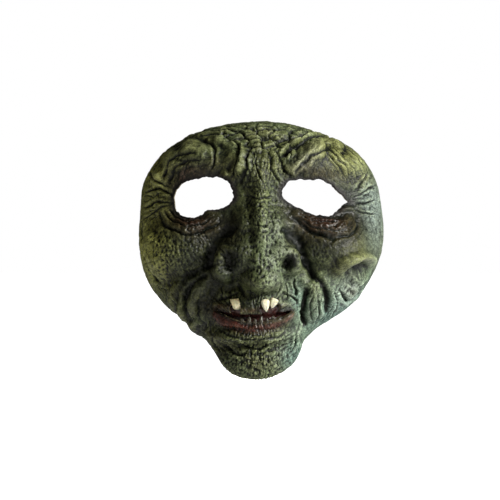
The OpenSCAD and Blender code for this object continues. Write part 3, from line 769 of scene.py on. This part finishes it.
def build_face():
    t = np.linspace(-1, 1, CELLS + 1)
    t = t * (MIDDLE_CELL + (1 - MIDDLE_CELL) * t * t)
    s, v = np.meshgrid(t, t, indexing="ij")
    shaped, normal, h, r, base = shape(s * np.sqrt(1 - v * v / 2), v * np.sqrt(1 - s * s / 2))
    normal = blur(normal, 1.5)
    normal /= np.linalg.norm(normal, axis=-1, keepdims=True)
    x, z = shaped[..., 0], shaped[..., 2]
    eye = np.minimum(*(hole_level(x, z, hole) for hole in EYES))
    mouth = mouth_level(x, z)
    detail, pores = face_detail(shaped, base, r, eye)
    outer = shaped + detail[..., None] * normal
    # the wall thins towards its cut edges, and its inner side only follows the broad folds
    thin = 1 - 0.4 * step(1.35, 1.0, eye) - 0.35 * step(0.93, 1.0, r)
    inner_h = np.minimum(blur(detail, 4) - WALL * thin, detail - 0.9 * thin)
    inner = shaped + inner_h[..., None] * normal

    colour, ridge, gloss = face_paint(x, z, unroll(shaped, base), h, detail, pores, eye, mouth)
    lining = np.zeros(x.shape + (3,)) + np.array([0.36, 0.31, 0.18])
    lining = mix(lining, (0.24, 0.21, 0.11), 0.5 + 0.5 * fractal(x / 20, z / 20, 99, 4))

    level = np.minimum(eye - 1, mouth - 1)
    move, faces = cut_grid(np.where(level == 0, 1e-6, level))

    def both(front, back):
        return np.vstack([apply_move(f, move).reshape(-1, 3) for f in (front, back)])

    verts, faces, used = close_shell(both(outer, inner), faces)
    obj = make_mesh("latex_face", verts, faces)
    paint(obj, "coat", both(colour, lining)[used])
    zero = np.zeros(x.shape)
    # the sides are matt
    gloss = gloss - step(0.6, 0.8, r)
    front, back = np.stack([zero, ridge, gloss], -1), np.stack([zero + 1, zero, zero], -1)
    paint(obj, "wear", both(front, back)[used])
    return obj


# ---------------------------------------------------------------- pieces made of rings
def named(word, side):
    return word + ("_left" if side > 0 else "_right")


def plate(name, front, back):
    """A closed plate between two grids of points. Its first side faces the way the grid's normals do."""
    quads = cells_of_grid(*front.shape[:2]).reshape(-1, 4)
    points = np.vstack([front.reshape(-1, 3), back.reshape(-1, 3)])
    verts, faces, _ = close_shell(points, [tuple(q) for q in quads])
    return make_mesh(name, verts, faces)


def tube_faces(count, n, start=0, closed=False):
    """Faces over count rings of n points, numbered from start, with a cap on each end unless it is closed."""
    faces = []
    for i in range(count if closed else count - 1):
        a, b = start + i * n, start + (i + 1) % count * n
        faces += [(a + j, a + (j + 1) % n, b + (j + 1) % n, b + j) for j in range(n)]
    if not closed:
        last = start + (count - 1) * n
        faces += [tuple(range(start + n - 1, start - 1, -1)), tuple(range(last, last + n))]
    return faces


def tube(name, rings, closed=False):
    """A skin over rings of points, which is capped or closes on itself."""
    rings = np.asarray(rings)
    return make_mesh(name, rings.reshape(-1, 3), tube_faces(*rings.shape[:2], closed=closed))


def turned(name, profile, x, side, closed=False):
    """A turned piece on the strap's axis. profile holds distances outwards from x, and radii. A closed
    profile goes round a ring's section, outwards along its bore."""
    a = np.linspace(0, 2 * math.pi, TURNED_SIDES, endpoint=False)
    rings = np.array([
        np.stack([np.full(a.shape, x + out), PIVOT_Y + rad * np.cos(a), PIVOT_Z + rad * np.sin(a)], -1)
        for out, rad in profile])
    rings[..., 0] *= side
    # a mirrored piece is wound the other way, and so is a section that starts along its bore
    if (side < 0) != closed:
        rings = rings[:, ::-1]
    return tube(named(name, side), rings, closed)


def arc(x0, r0, x1, r1, steps=5):
    """Profile points from (x0, r0) to (x1, r1) along a quarter of an ellipse."""
    angles = [k / steps * math.pi / 2 for k in range(steps + 1)]
    return [(x0 + (x1 - x0) * math.sin(q), r0 + (r1 - r0) * (1 - math.cos(q))) for q in angles]


# ---------------------------------------------------------------- gum and teeth
ROOT_RISE = 8
# Dark broken teeth along the lower lip: x, half width, height, lean
STUBS = [(-12.5, 2.0, 4.6, -12), (-7.6, 2.2, 6.2, 6), (-2.6, 1.9, 4.2, -6), (2, 2.3, 6.0, 5),
         (6.9, 1.9, 4.0, -5), (11.5, 2.1, 4.8, 10), (15.8, 1.5, 3.0, -6)]
STUB_RINGS = 12


def build_gum():
    """A dark sheet behind the mouth. It sinks behind the smile and has a ridge that the teeth stand on."""
    u, v = np.meshgrid(np.linspace(-1, 1, 121), np.linspace(-1, 1, 61), indexing="ij")
    x = SMILE["x"] + 33.5 * u
    z = -88.5 + 13 * v + 7 * u * u
    points, normal = patch(x, z)
    above = z - (-84.5 + 5 * u * u)
    ridge = 1.1 * np.exp(-((above / 3.2) ** 2)) - 2.6 * np.exp(-(((above + 8.5) / 3.6) ** 2)) * (1 - u * u)
    lumps = 0.5 * np.cos(x * 1.05) * np.exp(-((above / 4) ** 2)) + 0.25 * fractal(x / 2.5, z / 2.5, 121, 3)
    h = -3.6 + ridge + lumps
    edge = np.maximum(np.abs(u), np.abs(v))
    h = h * step(1.02, 0.86, edge) - 3.1 * step(0.86, 1.02, edge)
    thick = 1.7 - 1.1 * step(0.8, 1.0, edge)
    return plate("gum_sheet", points + h[..., None] * normal, points + (h - thick)[..., None] * normal)


def build_tooth(name, x, z, half_w, length, lean, blunt, top, seed):
    """One tooth: x and z of its root, its half width, length, lean in degrees, whether its tip is blunt, and
    the share of its length that its rounded top takes."""
    # its root lies straight above the lip, where the nose hides the face behind it
    at, normal = spot_on_face(x, z - ROOT_RISE)
    root = at - 0.2 * normal + np.array([0, 0, ROOT_RISE])
    a = np.linspace(0, 2 * math.pi, 40, endpoint=False)
    c, s = np.cos(a), np.sin(a)
    # a slightly squared section
    section_x, section_y = np.sign(c) * np.abs(c) ** 0.85, np.sign(s) * np.abs(s) ** 0.85
    lean_c, lean_s = cos_sin(lean)
    # the pointed teeth are turned, and the blunt one is skewed, with its ends level
    across, rise = (1, 0.1) if blunt else (lean_c, lean_s)
    rings = []
    for t in np.concatenate([[0, 0.03], np.linspace(0.08, 0.9, 22), [0.94, 0.97, 0.99, 1.0]]):
        if blunt:
            wide = (1 - 0.05 * t) * (1 - t**16) ** 0.5
            deep = (1 - 0.2 * t) * (1 - t**9) ** 0.5
        else:
            round_top = (1 - max(0, 1 - t / top) ** 2) ** 0.5
            wide = round_top * (0.92 + 0.42 * t - 0.1 * t * t) * (1 - t**1.9) ** 0.9
            deep = round_top * (1 - 0.25 * t) * (1 - t**2.4) ** 0.7
        wide, deep = max(wide, 0.03) * half_w, max(deep, 0.03) * half_w * 0.6
        # faint upright grooves, and a slight curve back towards its tip
        groove = 1 + 0.03 * np.cos(7 * a + seed) + 0.025 * noise(3 * c + seed, 3 * s + 5 * t, 140 + seed)
        px, py, pz = section_x * wide * groove, section_y * deep * groove - 0.9 + 1.6 * t * t, -length * t
        rings.append(np.stack([
            root[0] + px * across - pz * lean_s, root[1] + py, root[2] + pz * lean_c + px * rise], -1))
    rings = np.array(rings)[::-1]
    obj = tube(name, rings)
    down = np.clip((root[2] - rings[..., 2]) / length, 0, 1)
    flank = np.abs(c)[None, :] * np.ones(down.shape)
    streak = np.clip(noise(5 * c[None] + seed, 1.5 * down, 150), 0, 1)
    base = np.zeros(down.shape + (3,)) + np.array([0.84, 0.76, 0.43] if blunt else [0.93, 0.90, 0.66])
    colour = coats(base, [
        ((0.95, 0.93, 0.72), (0.5 if blunt else 1) * step(0.1, 0.8, down)),
        # brown at the root, partly stain and partly painted shadow under the lip, and painted shade down the
        # rounded flanks
        ((0.42, 0.30, 0.10), (0.5 if blunt else 0.2) * step(0.2, 0.02, down) + 0.35 * flank**3),
        ((0.55, 0.42, 0.20), 0.45 * streak),
    ])
    paint(obj, "coat", colour.reshape(-1, 3))
    return obj


def build_stubs():
    a = np.linspace(0, 2 * math.pi, 24, endpoint=False)
    verts, faces = [], []
    for k, (x, half_w, high, lean) in enumerate(STUBS):
        u = (x - SMILE["x"]) / SMILE["half_wide"]
        z = SMILE["z"] + SMILE["curl"] * u * u - SMILE["half_high"] - 0.6
        at, normal = spot_on_face(x, z)
        root = at - 1.5 * normal
        c, s = cos_sin(lean)
        faces += tube_faces(STUB_RINGS, len(a), len(verts))
        for i in range(STUB_RINGS):
            t = i / (STUB_RINGS - 1)
            size = max((1 - 0.4 * t) * (1 - t**4) ** 0.6, 0.05)
            rough = 1 + 0.22 * noise(2 * np.cos(a) + 3 * k, 2 * np.sin(a) + 4 * t, 160 + k)
            px, py = half_w * size * np.cos(a) * rough, 0.75 * half_w * size * np.sin(a) * rough
            pz = high * t - 0.6
            ring_points = [root[0] + px * c + pz * s, root[1] + py, root[2] + pz * c - px * s]
            verts += np.stack(ring_points, -1).tolist()
    return make_mesh("tooth_stub_row", np.array(verts), faces)


# ---------------------------------------------------------------- the strap and its fixings
TAB_DEPTH = WALL - 0.2
TAB_T = 1.2
TAB_W = 22
PIVOT_Y, PIVOT_Z = 78, -20
BAND_W, BAND_T = 20, 1.5
LEG = 12
LOOP_DEPTH = 56
BAND_PAST_RIVET = 9
POST_R = 1.9
HEAD_R = 4.5
RIVET_HEAD_T = 1.1
# A turned piece's flat faces end in a hole this small
AXIS_R = 0.02


def corner_mm(node):
    """The lowest and highest corners of a CAD node, in millimetres."""
    return [np.array(p) * 1000 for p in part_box(node)]


def mirrored(p, side):
    """A grid of points or normals, moved to the other side for the right-hand piece, which lies at -X."""
    return p if side > 0 else p[::-1] * np.array([-1, 1, 1])


def cheek_strip(side, r_in, r_out, width, steps_r, steps_z):
    """A grid of one cheek beside the cut edge, level with the rivet, and its normals, both turned to the
    +X side."""
    share, across = np.meshgrid(np.linspace(0, 1, steps_r), np.linspace(-0.5, 0.5, steps_z), indexing="ij")
    z = PIVOT_Z + width * across
    a = np.arctan2(z - CENTRE_Z, OUTLINE_R[0])
    r = r_in + (r_out - r_in) * share
    if side > 0:
        points, normal = shape(r * np.cos(a), r * np.sin(a))[:2]
    else:
        points, normal = (mirrored(p, side) for p in shape(-(r * np.cos(a))[::-1], (r * np.sin(a))[::-1])[:2])
    return points, normal, share, across


def build_tab(side):
    """Woven nylon webbing: bonded inside the cheek, then straight back to a round end behind the rivet."""
    tab_x = corner_mm("rivet_left")[1][0] - RIVET_HEAD_T
    across_count = 67
    points, normal, _, across = cheek_strip(side, 0.72, 1.0, TAB_W, 46, across_count)
    cheek = points - TAB_DEPTH * normal
    edge_x, edge_y = cheek[-1, :, 0], cheek[-1, :, 1]
    straight = []
    for q in np.linspace(0, 1, 86)[1:]:
        y = edge_y + (PIVOT_Y + TAB_W / 2 - edge_y) * q
        beyond = np.clip(y - PIVOT_Y, 0, TAB_W / 2)
        half = np.sqrt(np.maximum((TAB_W / 2) ** 2 - beyond**2, 0.0025))
        x = edge_x + (tab_x - edge_x) * step(0, 0.35, q)
        straight.append(np.stack([x, y, PIVOT_Z + 2 * across[0] * half], -1))
    middle = np.concatenate([cheek, np.array(straight)])
    out = normals(middle)
    a, b = np.meshgrid(distances(middle[:, across_count // 2]), across[0] * TAB_W, indexing="ij")
    # a twill weave: each rib steps sideways along the length
    rib = np.cos(math.pi * a / 0.9) * np.cos(math.pi * b / 1.1 + math.pi * np.floor(a / 1.8) * 0.5)
    weave = 0.11 * rib - 0.25 * step(0.46, 0.5, np.abs(b) / TAB_W)
    front = middle + weave[..., None] * out
    back = middle - (TAB_T + weave)[..., None] * out
    return plate(named("webbing_tab", side), mirrored(front, side), mirrored(back, side))


def build_patch(side):
    """Gauze soaked in latex over the webbing, with an uneven edge."""
    points, normal, share, across = cheek_strip(side, 0.69, 0.9, 30, 90, 90)
    seed = 170 if side > 0 else 180
    edge = np.maximum(np.abs(2 * share - 1), np.abs(2 * across))
    ragged = 1 + 0.06 * noise(points[..., 1] / 3, points[..., 2] / 3, seed) * step(0.8, 1, edge)
    centre = points.mean((0, 1))
    points = centre + (points - centre) * ragged[..., None]
    y, z = points[..., 1], points[..., 2]
    lie = TAB_DEPTH - 0.2 + (TAB_T + 0.25) * step(13.2, 10.6, np.abs(z - PIVOT_Z))
    gauze = 0.09 * (np.cos(y * 5.2 + 1.5 * noise(y / 4, z / 4, seed + 1)) + np.cos(z * 5.2))
    thick = 0.95 * step(1.02, 0.86, edge) + 0.1 + gauze
    thick = thick + 0.2 * fractal(y / 3, z / 3, seed + 2, 3) * step(1, 0.8, edge)
    front = points - lie[..., None] * normal
    back = points - (lie + np.maximum(thick, 0.08))[..., None] * normal
    return plate(named("gauze_patch", side), mirrored(front, side), mirrored(back, side))


def build_rivet(side):
    low, high = corner_mm("rivet_left")
    head = high[0] - RIVET_HEAD_T
    post_in = low[0] - head
    profile = [(post_in, AXIS_R), (post_in, 1.75), (post_in + 0.15, POST_R), (-0.15, POST_R), (0.0, 2.3),
               (0.0, 4.35), (0.12, HEAD_R), (0.3, HEAD_R)]
    profile += arc(0.3, HEAD_R, 1.0, 3.2) + arc(1.0, 3.2, RIVET_HEAD_T, AXIS_R)[1:]
    return turned("rivet_post", profile, head, side)


def build_cap(side):
    low, high = corner_mm("rivet_cap_left")
    t = high[0] - low[0]
    profile = [(0, AXIS_R), (0.03, 1.0), (0.1, 1.25), (0.1, 1.4), (0.02, 1.6), (0.1, 2.6), (0.3, 3.4),
               (0.65, 4.1), (1.05, 4.45), (t - 0.25, HEAD_R), (t - 0.05, 4.35), (t, 4.2), (t, AXIS_R)]
    return turned("rivet_dome", profile, low[0], side)


def build_eyelet(side):
    """A brass eyelet in the band, with rolled rims."""
    low, high = corner_mm("eyelet_left")
    t = high[0] - low[0]
    bore, pipe, flange = 1.97, 2.42, 3.6
    section = [(0.28, bore), (t - 0.28, bore)] + arc(t - 0.28, bore, t, bore + 0.35)
    section += [(t, 3.0), (t - 0.06, 3.4), (t - 0.17, flange), (t - 0.29, 3.45), (t - 0.3, pipe), (0.3, pipe),
                (0.29, 3.45), (0.17, flange), (0.06, 3.4), (0, 3.0), (0, bore + 0.35), (0.1, bore + 0.08)]
    return turned("brass_eyelet", section, low[0], side, closed=True)


def build_band():
    """Ribbed elastic that hangs in a loop from the rivets."""
    half = corner_mm("strap_band")[1][0] - BAND_T / 2
    drop = LOOP_DEPTH - LEG - BAND_T / 2
    a = np.linspace(0, math.pi, 400)[1:-1]
    leg = np.linspace(-BAND_PAST_RIVET, LEG, 44)
    line = np.concatenate([
        np.stack([np.full(leg.shape, half), leg], -1),
        np.stack([half * np.cos(a), LEG + drop * np.sin(a)], -1),
        np.stack([np.full(leg.shape, -half), leg[::-1]], -1)])
    far = distances(line)
    length = far[-1]
    even = np.linspace(0, length, int(length / 0.5))
    line = np.stack([np.interp(even, far, line[:, k]) for k in (0, 1)], -1)
    tangent = np.gradient(line, axis=0)
    tangent /= np.linalg.norm(tangent, axis=-1, keepdims=True)
    out = np.stack([tangent[:, 1], -tangent[:, 0]], -1)
    s, w = np.meshgrid(even, np.linspace(-0.5, 0.5, 111), indexing="ij")
    # eleven rubber cords under the weave, and the weft that crosses them
    rib = 0.16 * np.abs(np.cos(math.pi * w * 11)) - 0.1
    weft = 0.05 * np.cos(math.pi * s / 1.0) * np.cos(math.pi * w * 22)
    height = BAND_T / 2 - 0.14 + rib + weft - 0.45 * step(0.475, 0.5, np.abs(w))
    # the band waves a little between the rivets
    wave = 0.25 * noise(s / 14, w * 0 + 1, 190) + 0.12 * noise(s / 5, w * 2, 191)
    wave = wave * step(0, 30, s) * step(length, length - 30, s)
    width = BAND_W * w * (1 - 0.006 * np.abs(noise(s / 3, w * 0, 192)))

    def skin(sign):
        flat = line[:, None] + out[:, None] * (sign * height + wave)[..., None]
        return np.stack([flat[..., 0], PIVOT_Y + width, PIVOT_Z - flat[..., 1]], -1)

    return plate("elastic_band", skin(1), skin(-1))


# ---------------------------------------------------------------- materials
class Nodes:
    """Short ways to build a node material."""

    def __init__(self, name):
        self.material = bpy.data.materials.new(name)
        self.material.use_nodes = True
        self.tree = self.material.node_tree
        self.shader = self.tree.nodes["Principled BSDF"]
        self.place = self.add("ShaderNodeTexCoord").outputs["Object"]

    def add(self, kind, **settings):
        node = self.tree.nodes.new(kind)
        for key, value in settings.items():
            setattr(node, key, value)
        return node

    def feed(self, socket, value):
        """Links an output to a socket, or sets the socket's own value."""
        if hasattr(value, "is_linked"):
            self.tree.links.new(value, socket)
        else:
            socket.default_value = value

    def put(self, node, **values):
        for key, value in values.items():
            self.feed(node.inputs[key.replace("_", " ")], value)
        return node

    def shade(self, **values):
        self.put(self.shader, **values)

    def attribute(self, name):
        return self.add("ShaderNodeAttribute", attribute_name=name).outputs["Color"]

    def noise(self, scale, detail):
        node = self.add("ShaderNodeTexNoise")
        return self.put(node, Vector=self.place, Scale=scale, Detail=detail, Roughness=0.55).outputs["Fac"]

    def streaks(self, scale, detail, **stretch):
        """Noise drawn out into lines."""
        drawn = self.put(self.add("ShaderNodeMapping"), Vector=self.place, **stretch).outputs[0]
        node = self.add("ShaderNodeTexNoise")
        return self.put(node, Vector=drawn, Scale=scale, Detail=detail).outputs["Fac"]

    def span(self, value, a, b, c, d):
        """Maps value from a..b to c..d."""
        node = self.add("ShaderNodeMapRange")
        return self.put(node, Value=value, From_Min=a, From_Max=b, To_Min=c, To_Max=d).outputs["Result"]

    def maths(self, kind, a, b):
        node = self.add("ShaderNodeMath", operation=kind)
        self.feed(node.inputs[0], a)
        self.feed(node.inputs[1], b)
        return node.outputs[0]

    def blend(self, factor, a, b, kind="MIX"):
        node = self.add("ShaderNodeMix", data_type="RGBA", blend_type=kind)
        for number, value in ((0, factor), (6, a), (7, b)):
            self.feed(node.inputs[number], value)
        return node.outputs[2]

    def uneven(self, scale, low, high):
        """Soft noise between two values."""
        return self.span(self.noise(scale, 3), 0.3, 0.7, low, high)

    def mottle(self, scale):
        """Clear patches, from 0 to 1."""
        return self.span(self.noise(scale, 5), 0.35, 0.65, 0, 1)

    def bump(self, height, distance, strength):
        node = self.put(self.add("ShaderNodeBump"), Height=height, Distance=distance, Strength=strength)
        self.shade(Normal=node.outputs["Normal"])


def latex_material():
    m = Nodes("painted_latex")
    wear = m.put(m.add("ShaderNodeSeparateColor"), Color=m.attribute("wear")).outputs
    inside, ridge, glossy = wear[0], wear[1], wear[2]
    tint = m.maths("MULTIPLY", m.span(m.noise(900, 4), 0.40, 0.62, 0.5, 1.35),
                   m.span(m.noise(160, 5), 0.35, 0.65, 0.78, 1.22))
    tint = m.maths("ADD", m.maths("MULTIPLY", tint, m.maths("SUBTRACT", 1.0, inside)), inside)
    rough = m.span(m.noise(260, 4), 0.3, 0.7, 0.34, 0.58)
    for amount, change in ((ridge, -0.07), (glossy, -0.18), (inside, 0.08)):
        rough = m.maths("ADD", rough, m.maths("MULTIPLY", amount, change))
    coat = m.blend(1.0, m.attribute("coat"), tint, "MULTIPLY")
    m.shade(Base_Color=coat, Roughness=rough, Specular_IOR_Level=0.32)
    pits = m.put(m.add("ShaderNodeTexVoronoi"), Vector=m.place, Scale=820.0).outputs["Distance"]
    m.bump(m.maths("ADD", m.noise(700, 5), m.maths("MULTIPLY", pits, 0.6)), 0.0006, 0.55)
    return m.material


def wet_material(name, scales, dark, light, low, high):
    """A mottled, shiny surface. scales are those of its colour, its roughness and its bumps."""
    m = Nodes(name)
    m.shade(Base_Color=m.blend(m.mottle(scales[0]), dark, light), Roughness=m.uneven(scales[1], low, high))
    m.bump(m.noise(scales[2], 4), 0.0005, 0.5)
    return m.material


def tooth_material():
    m = Nodes("aged_ivory")
    lines = m.streaks(1400.0, 3.0, Scale=(1.0, 1.0, 0.16))
    stain = m.maths("MULTIPLY", m.span(lines, 0.35, 0.65, 0.82, 1.08),
                    m.span(m.noise(380, 4), 0.35, 0.6, 0.75, 1.05))
    m.shade(Base_Color=m.blend(1.0, m.attribute("coat"), stain, "MULTIPLY"),
            Roughness=m.span(lines, 0.3, 0.7, 0.26, 0.42), Subsurface_Weight=0.12, Subsurface_Scale=0.001)
    m.bump(lines, 0.0003, 0.35)
    return m.material


def webbing_material():
    m = Nodes("nylon_webbing")
    wave = m.add("ShaderNodeTexWave", bands_direction="DIAGONAL")
    twist = m.put(wave, Vector=m.place, Scale=700.0, Distortion=2.0).outputs["Fac"]
    fac = m.span(m.maths("MULTIPLY", twist, m.noise(240, 4)), 0.1, 0.5, 0, 1)
    m.shade(Base_Color=m.blend(fac, (0.013, 0.013, 0.014, 1), (0.06, 0.058, 0.056, 1)),
            Roughness=m.uneven(900, 0.55, 0.8), Sheen_Weight=0.25, Sheen_Roughness=0.5)
    m.bump(twist, 0.0002, 0.4)
    return m.material


def patch_material():
    m = Nodes("gauze_in_latex")
    cross = m.put(m.add("ShaderNodeTexChecker"), Vector=m.place, Scale=1500.0).outputs["Fac"]
    base = m.blend(m.mottle(150), (0.22, 0.185, 0.09, 1), (0.36, 0.31, 0.18, 1))
    m.shade(Base_Color=m.blend(m.span(cross, 0, 1, 0, 0.25), base, (0.45, 0.42, 0.30, 1)),
            Roughness=m.uneven(320, 0.38, 0.6))
    m.bump(m.maths("ADD", m.noise(800, 4), m.maths("MULTIPLY", cross, 0.4)), 0.0004, 0.5)
    return m.material


def metal_material(name, dull, bright, low, high):
    m = Nodes(name)
    lines = m.streaks(2600.0, 4.0, Scale=(1.0, 1.0, 0.08), Rotation=(0.6, 0.0, 0.0))
    fac = m.mottle(340)
    rough = m.span(m.maths("ADD", lines, m.maths("MULTIPLY", fac, 0.3)), 0.3, 0.9, low, high)
    m.shade(Base_Color=m.blend(fac, dull, bright), Metallic=1.0, Roughness=rough)
    m.bump(lines, 0.0001, 0.3)
    return m.material


def elastic_material():
    m = Nodes("woven_elastic")
    fuzz = m.noise(1800, 4)
    fac = m.span(m.maths("ADD", fuzz, m.maths("MULTIPLY", m.noise(120, 3), 0.4)), 0.5, 0.95, 0, 1)
    m.shade(Base_Color=m.blend(fac, (0.006, 0.006, 0.007, 1), (0.034, 0.033, 0.034, 1)),
            Roughness=m.span(fuzz, 0.3, 0.7, 0.6, 0.85), Sheen_Weight=0.3, Sheen_Roughness=0.45)
    m.bump(fuzz, 0.0002, 0.5)
    return m.material


# ---------------------------------------------------------------- camera, light and floor
# The camera looks along Y at a square of this side, in metres
VIEW_SIDE = 0.4
VIEW_X, VIEW_Y, VIEW_Z = -0.0064, 0.02, -0.0392
LENS, SENSOR = 100.0, 36.0
WORLD_GLOW = 0.042
FLOOR_GLOW = 1.3
FLOOR_SIZE, FLOOR_BELOW = 12.0, 0.12
LIGHTS_AIM = (0, 0, -0.04)
# Name, place, power, size and colour
LIGHTS = [
    ("key", (0.95, -0.72, 0.5), 25, 0.3, (1, 0.985, 0.94)),
    ("fill", (-0.9, -0.9, 0.25), 0.8, 0.9, (1, 0.96, 0.84)),
    ("side", (1.05, -0.2, -0.25), 4.5, 0.6, (0.84, 0.93, 1)),
    ("back", (0, 1.4, 0.05), 11, 0.5, (1, 0.97, 0.9)),
]


def area_light(name, place, power, size, colour):
    data = bpy.data.lights.new(name, "AREA")
    data.energy, data.size, data.color = power, size, colour
    obj = bpy.data.objects.new(name, data)
    bpy.context.scene.collection.objects.link(obj)
    obj.location = place
    obj.rotation_euler = (Vector(LIGHTS_AIM) - Vector(place)).to_track_quat("-Z", "Y").to_euler()
    obj.visible_camera = False


def studio():
    scene = bpy.context.scene
    scene.view_settings.view_transform = "Standard"
    data = bpy.data.cameras.new("camera")
    data.lens, data.sensor_width = LENS, SENSOR
    camera = bpy.data.objects.new("camera", data)
    scene.collection.objects.link(camera)
    camera.location = (VIEW_X, VIEW_Y - VIEW_SIDE * LENS / SENSOR, VIEW_Z)
    camera.rotation_euler = (math.pi / 2, 0, 0)
    scene.camera = camera
    for light in LIGHTS:
        area_light(*light)

    # white to the camera, and a dim warm glow on the mask
    world = bpy.data.worlds.new("world")
    scene.world = world
    world.use_nodes = True
    tree = world.node_tree
    background = tree.nodes["Background"]
    seen = tree.nodes.new("ShaderNodeLightPath").outputs["Is Camera Ray"]
    bright = tree.nodes.new("ShaderNodeMapRange")
    tree.links.new(seen, bright.inputs["Value"])
    bright.inputs["To Min"].default_value, bright.inputs["To Max"].default_value = WORLD_GLOW, 1.0
    tree.links.new(bright.outputs["Result"], background.inputs["Strength"])
    tint = tree.nodes.new("ShaderNodeMix")
    tint.data_type = "RGBA"
    tree.links.new(seen, tint.inputs[0])
    tint.inputs[6].default_value, tint.inputs[7].default_value = (1, 0.93, 0.76, 1), (1, 1, 1, 1)
    tree.links.new(tint.outputs[2], background.inputs["Color"])

    size, level = FLOOR_SIZE, cad_box[0][2] - FLOOR_BELOW
    mesh = bpy.data.meshes.new("floor")
    corners = [(-size, -size, level), (size, -size, level), (size, size, level), (-size, size, level)]
    mesh.from_pydata(corners, [], [(0, 1, 2, 3)])
    floor = bpy.data.objects.new("floor", mesh)
    scene.collection.objects.link(floor)
    m = Nodes("pale_floor")
    glow = m.span(m.add("ShaderNodeLightPath").outputs["Is Camera Ray"], 0, 1, 0, FLOOR_GLOW)
    m.shade(Base_Color=(0.9, 0.9, 0.9, 1), Roughness=0.8, Emission_Color=(1, 1, 1, 1), Emission_Strength=glow)
    mesh.materials.append(m.material)


# ---------------------------------------------------------------- assembly
def place(obj, body, node, slot, material):
    """A finished piece stands for its CAD node and rides on its body."""
    obj.data.materials.append(material)
    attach(obj, body)
    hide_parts(node)


studio()
place(build_face(), "mask", "face_skin", "latex", latex_material())
gum = wet_material("wet_gum", (420, 300, 900), (0.012, 0.004, 0.0035, 1), (0.05, 0.013, 0.011, 1), 0.22, 0.42)
place(build_gum(), "mask", "gum_insert", "gum", gum)
ivory = tooth_material()
for name, node, numbers in (
    ("tooth_blunt", "tooth_right", (-18.6, -76.2, 3.3, 8.9, 19, True, 0, 1)),
    ("tooth_leaf", "tooth_left_inner", (4.9, -76.2, 3.4, 10, 7, False, 0.25, 2)),
    ("tooth_point", "tooth_left_outer", (12.8, -76.0, 3.1, 8.2, -20, False, 0.06, 3)),
):
    place(build_tooth(name, *numbers), "mask", node, "tooth", ivory)
rotten = wet_material("rotten_stub", (700, 500, 1100), (0.01, 0.008, 0.005, 1), (0.07, 0.06, 0.04, 1), 0.2, 0.4)
place(build_stubs(), "mask", "tooth_stubs", "stub", rotten)
webbing, gauze, elastic = webbing_material(), patch_material(), elastic_material()
nickel = metal_material("nickel_plate", (0.42, 0.41, 0.38, 1), (0.70, 0.69, 0.66, 1), 0.2, 0.42)
brass = metal_material("aged_brass", (0.34, 0.24, 0.11, 1), (0.62, 0.47, 0.23, 1), 0.24, 0.48)
for side, word in ((1, "left"), (-1, "right")):
    place(build_tab(side), "mask", "anchor_tab_" + word, "webbing", webbing)
    place(build_patch(side), "mask", "bond_patch_" + word, "patch", gauze)
    place(build_rivet(side), "mask", "rivet_" + word, "rivet", nickel)
    place(build_cap(side), "mask", "rivet_cap_" + word, "rivet", nickel)
    place(build_eyelet(side), "strap", "eyelet_" + word, "eyelet", brass)
place(build_band(), "strap", "strap_band", "elastic", elastic)
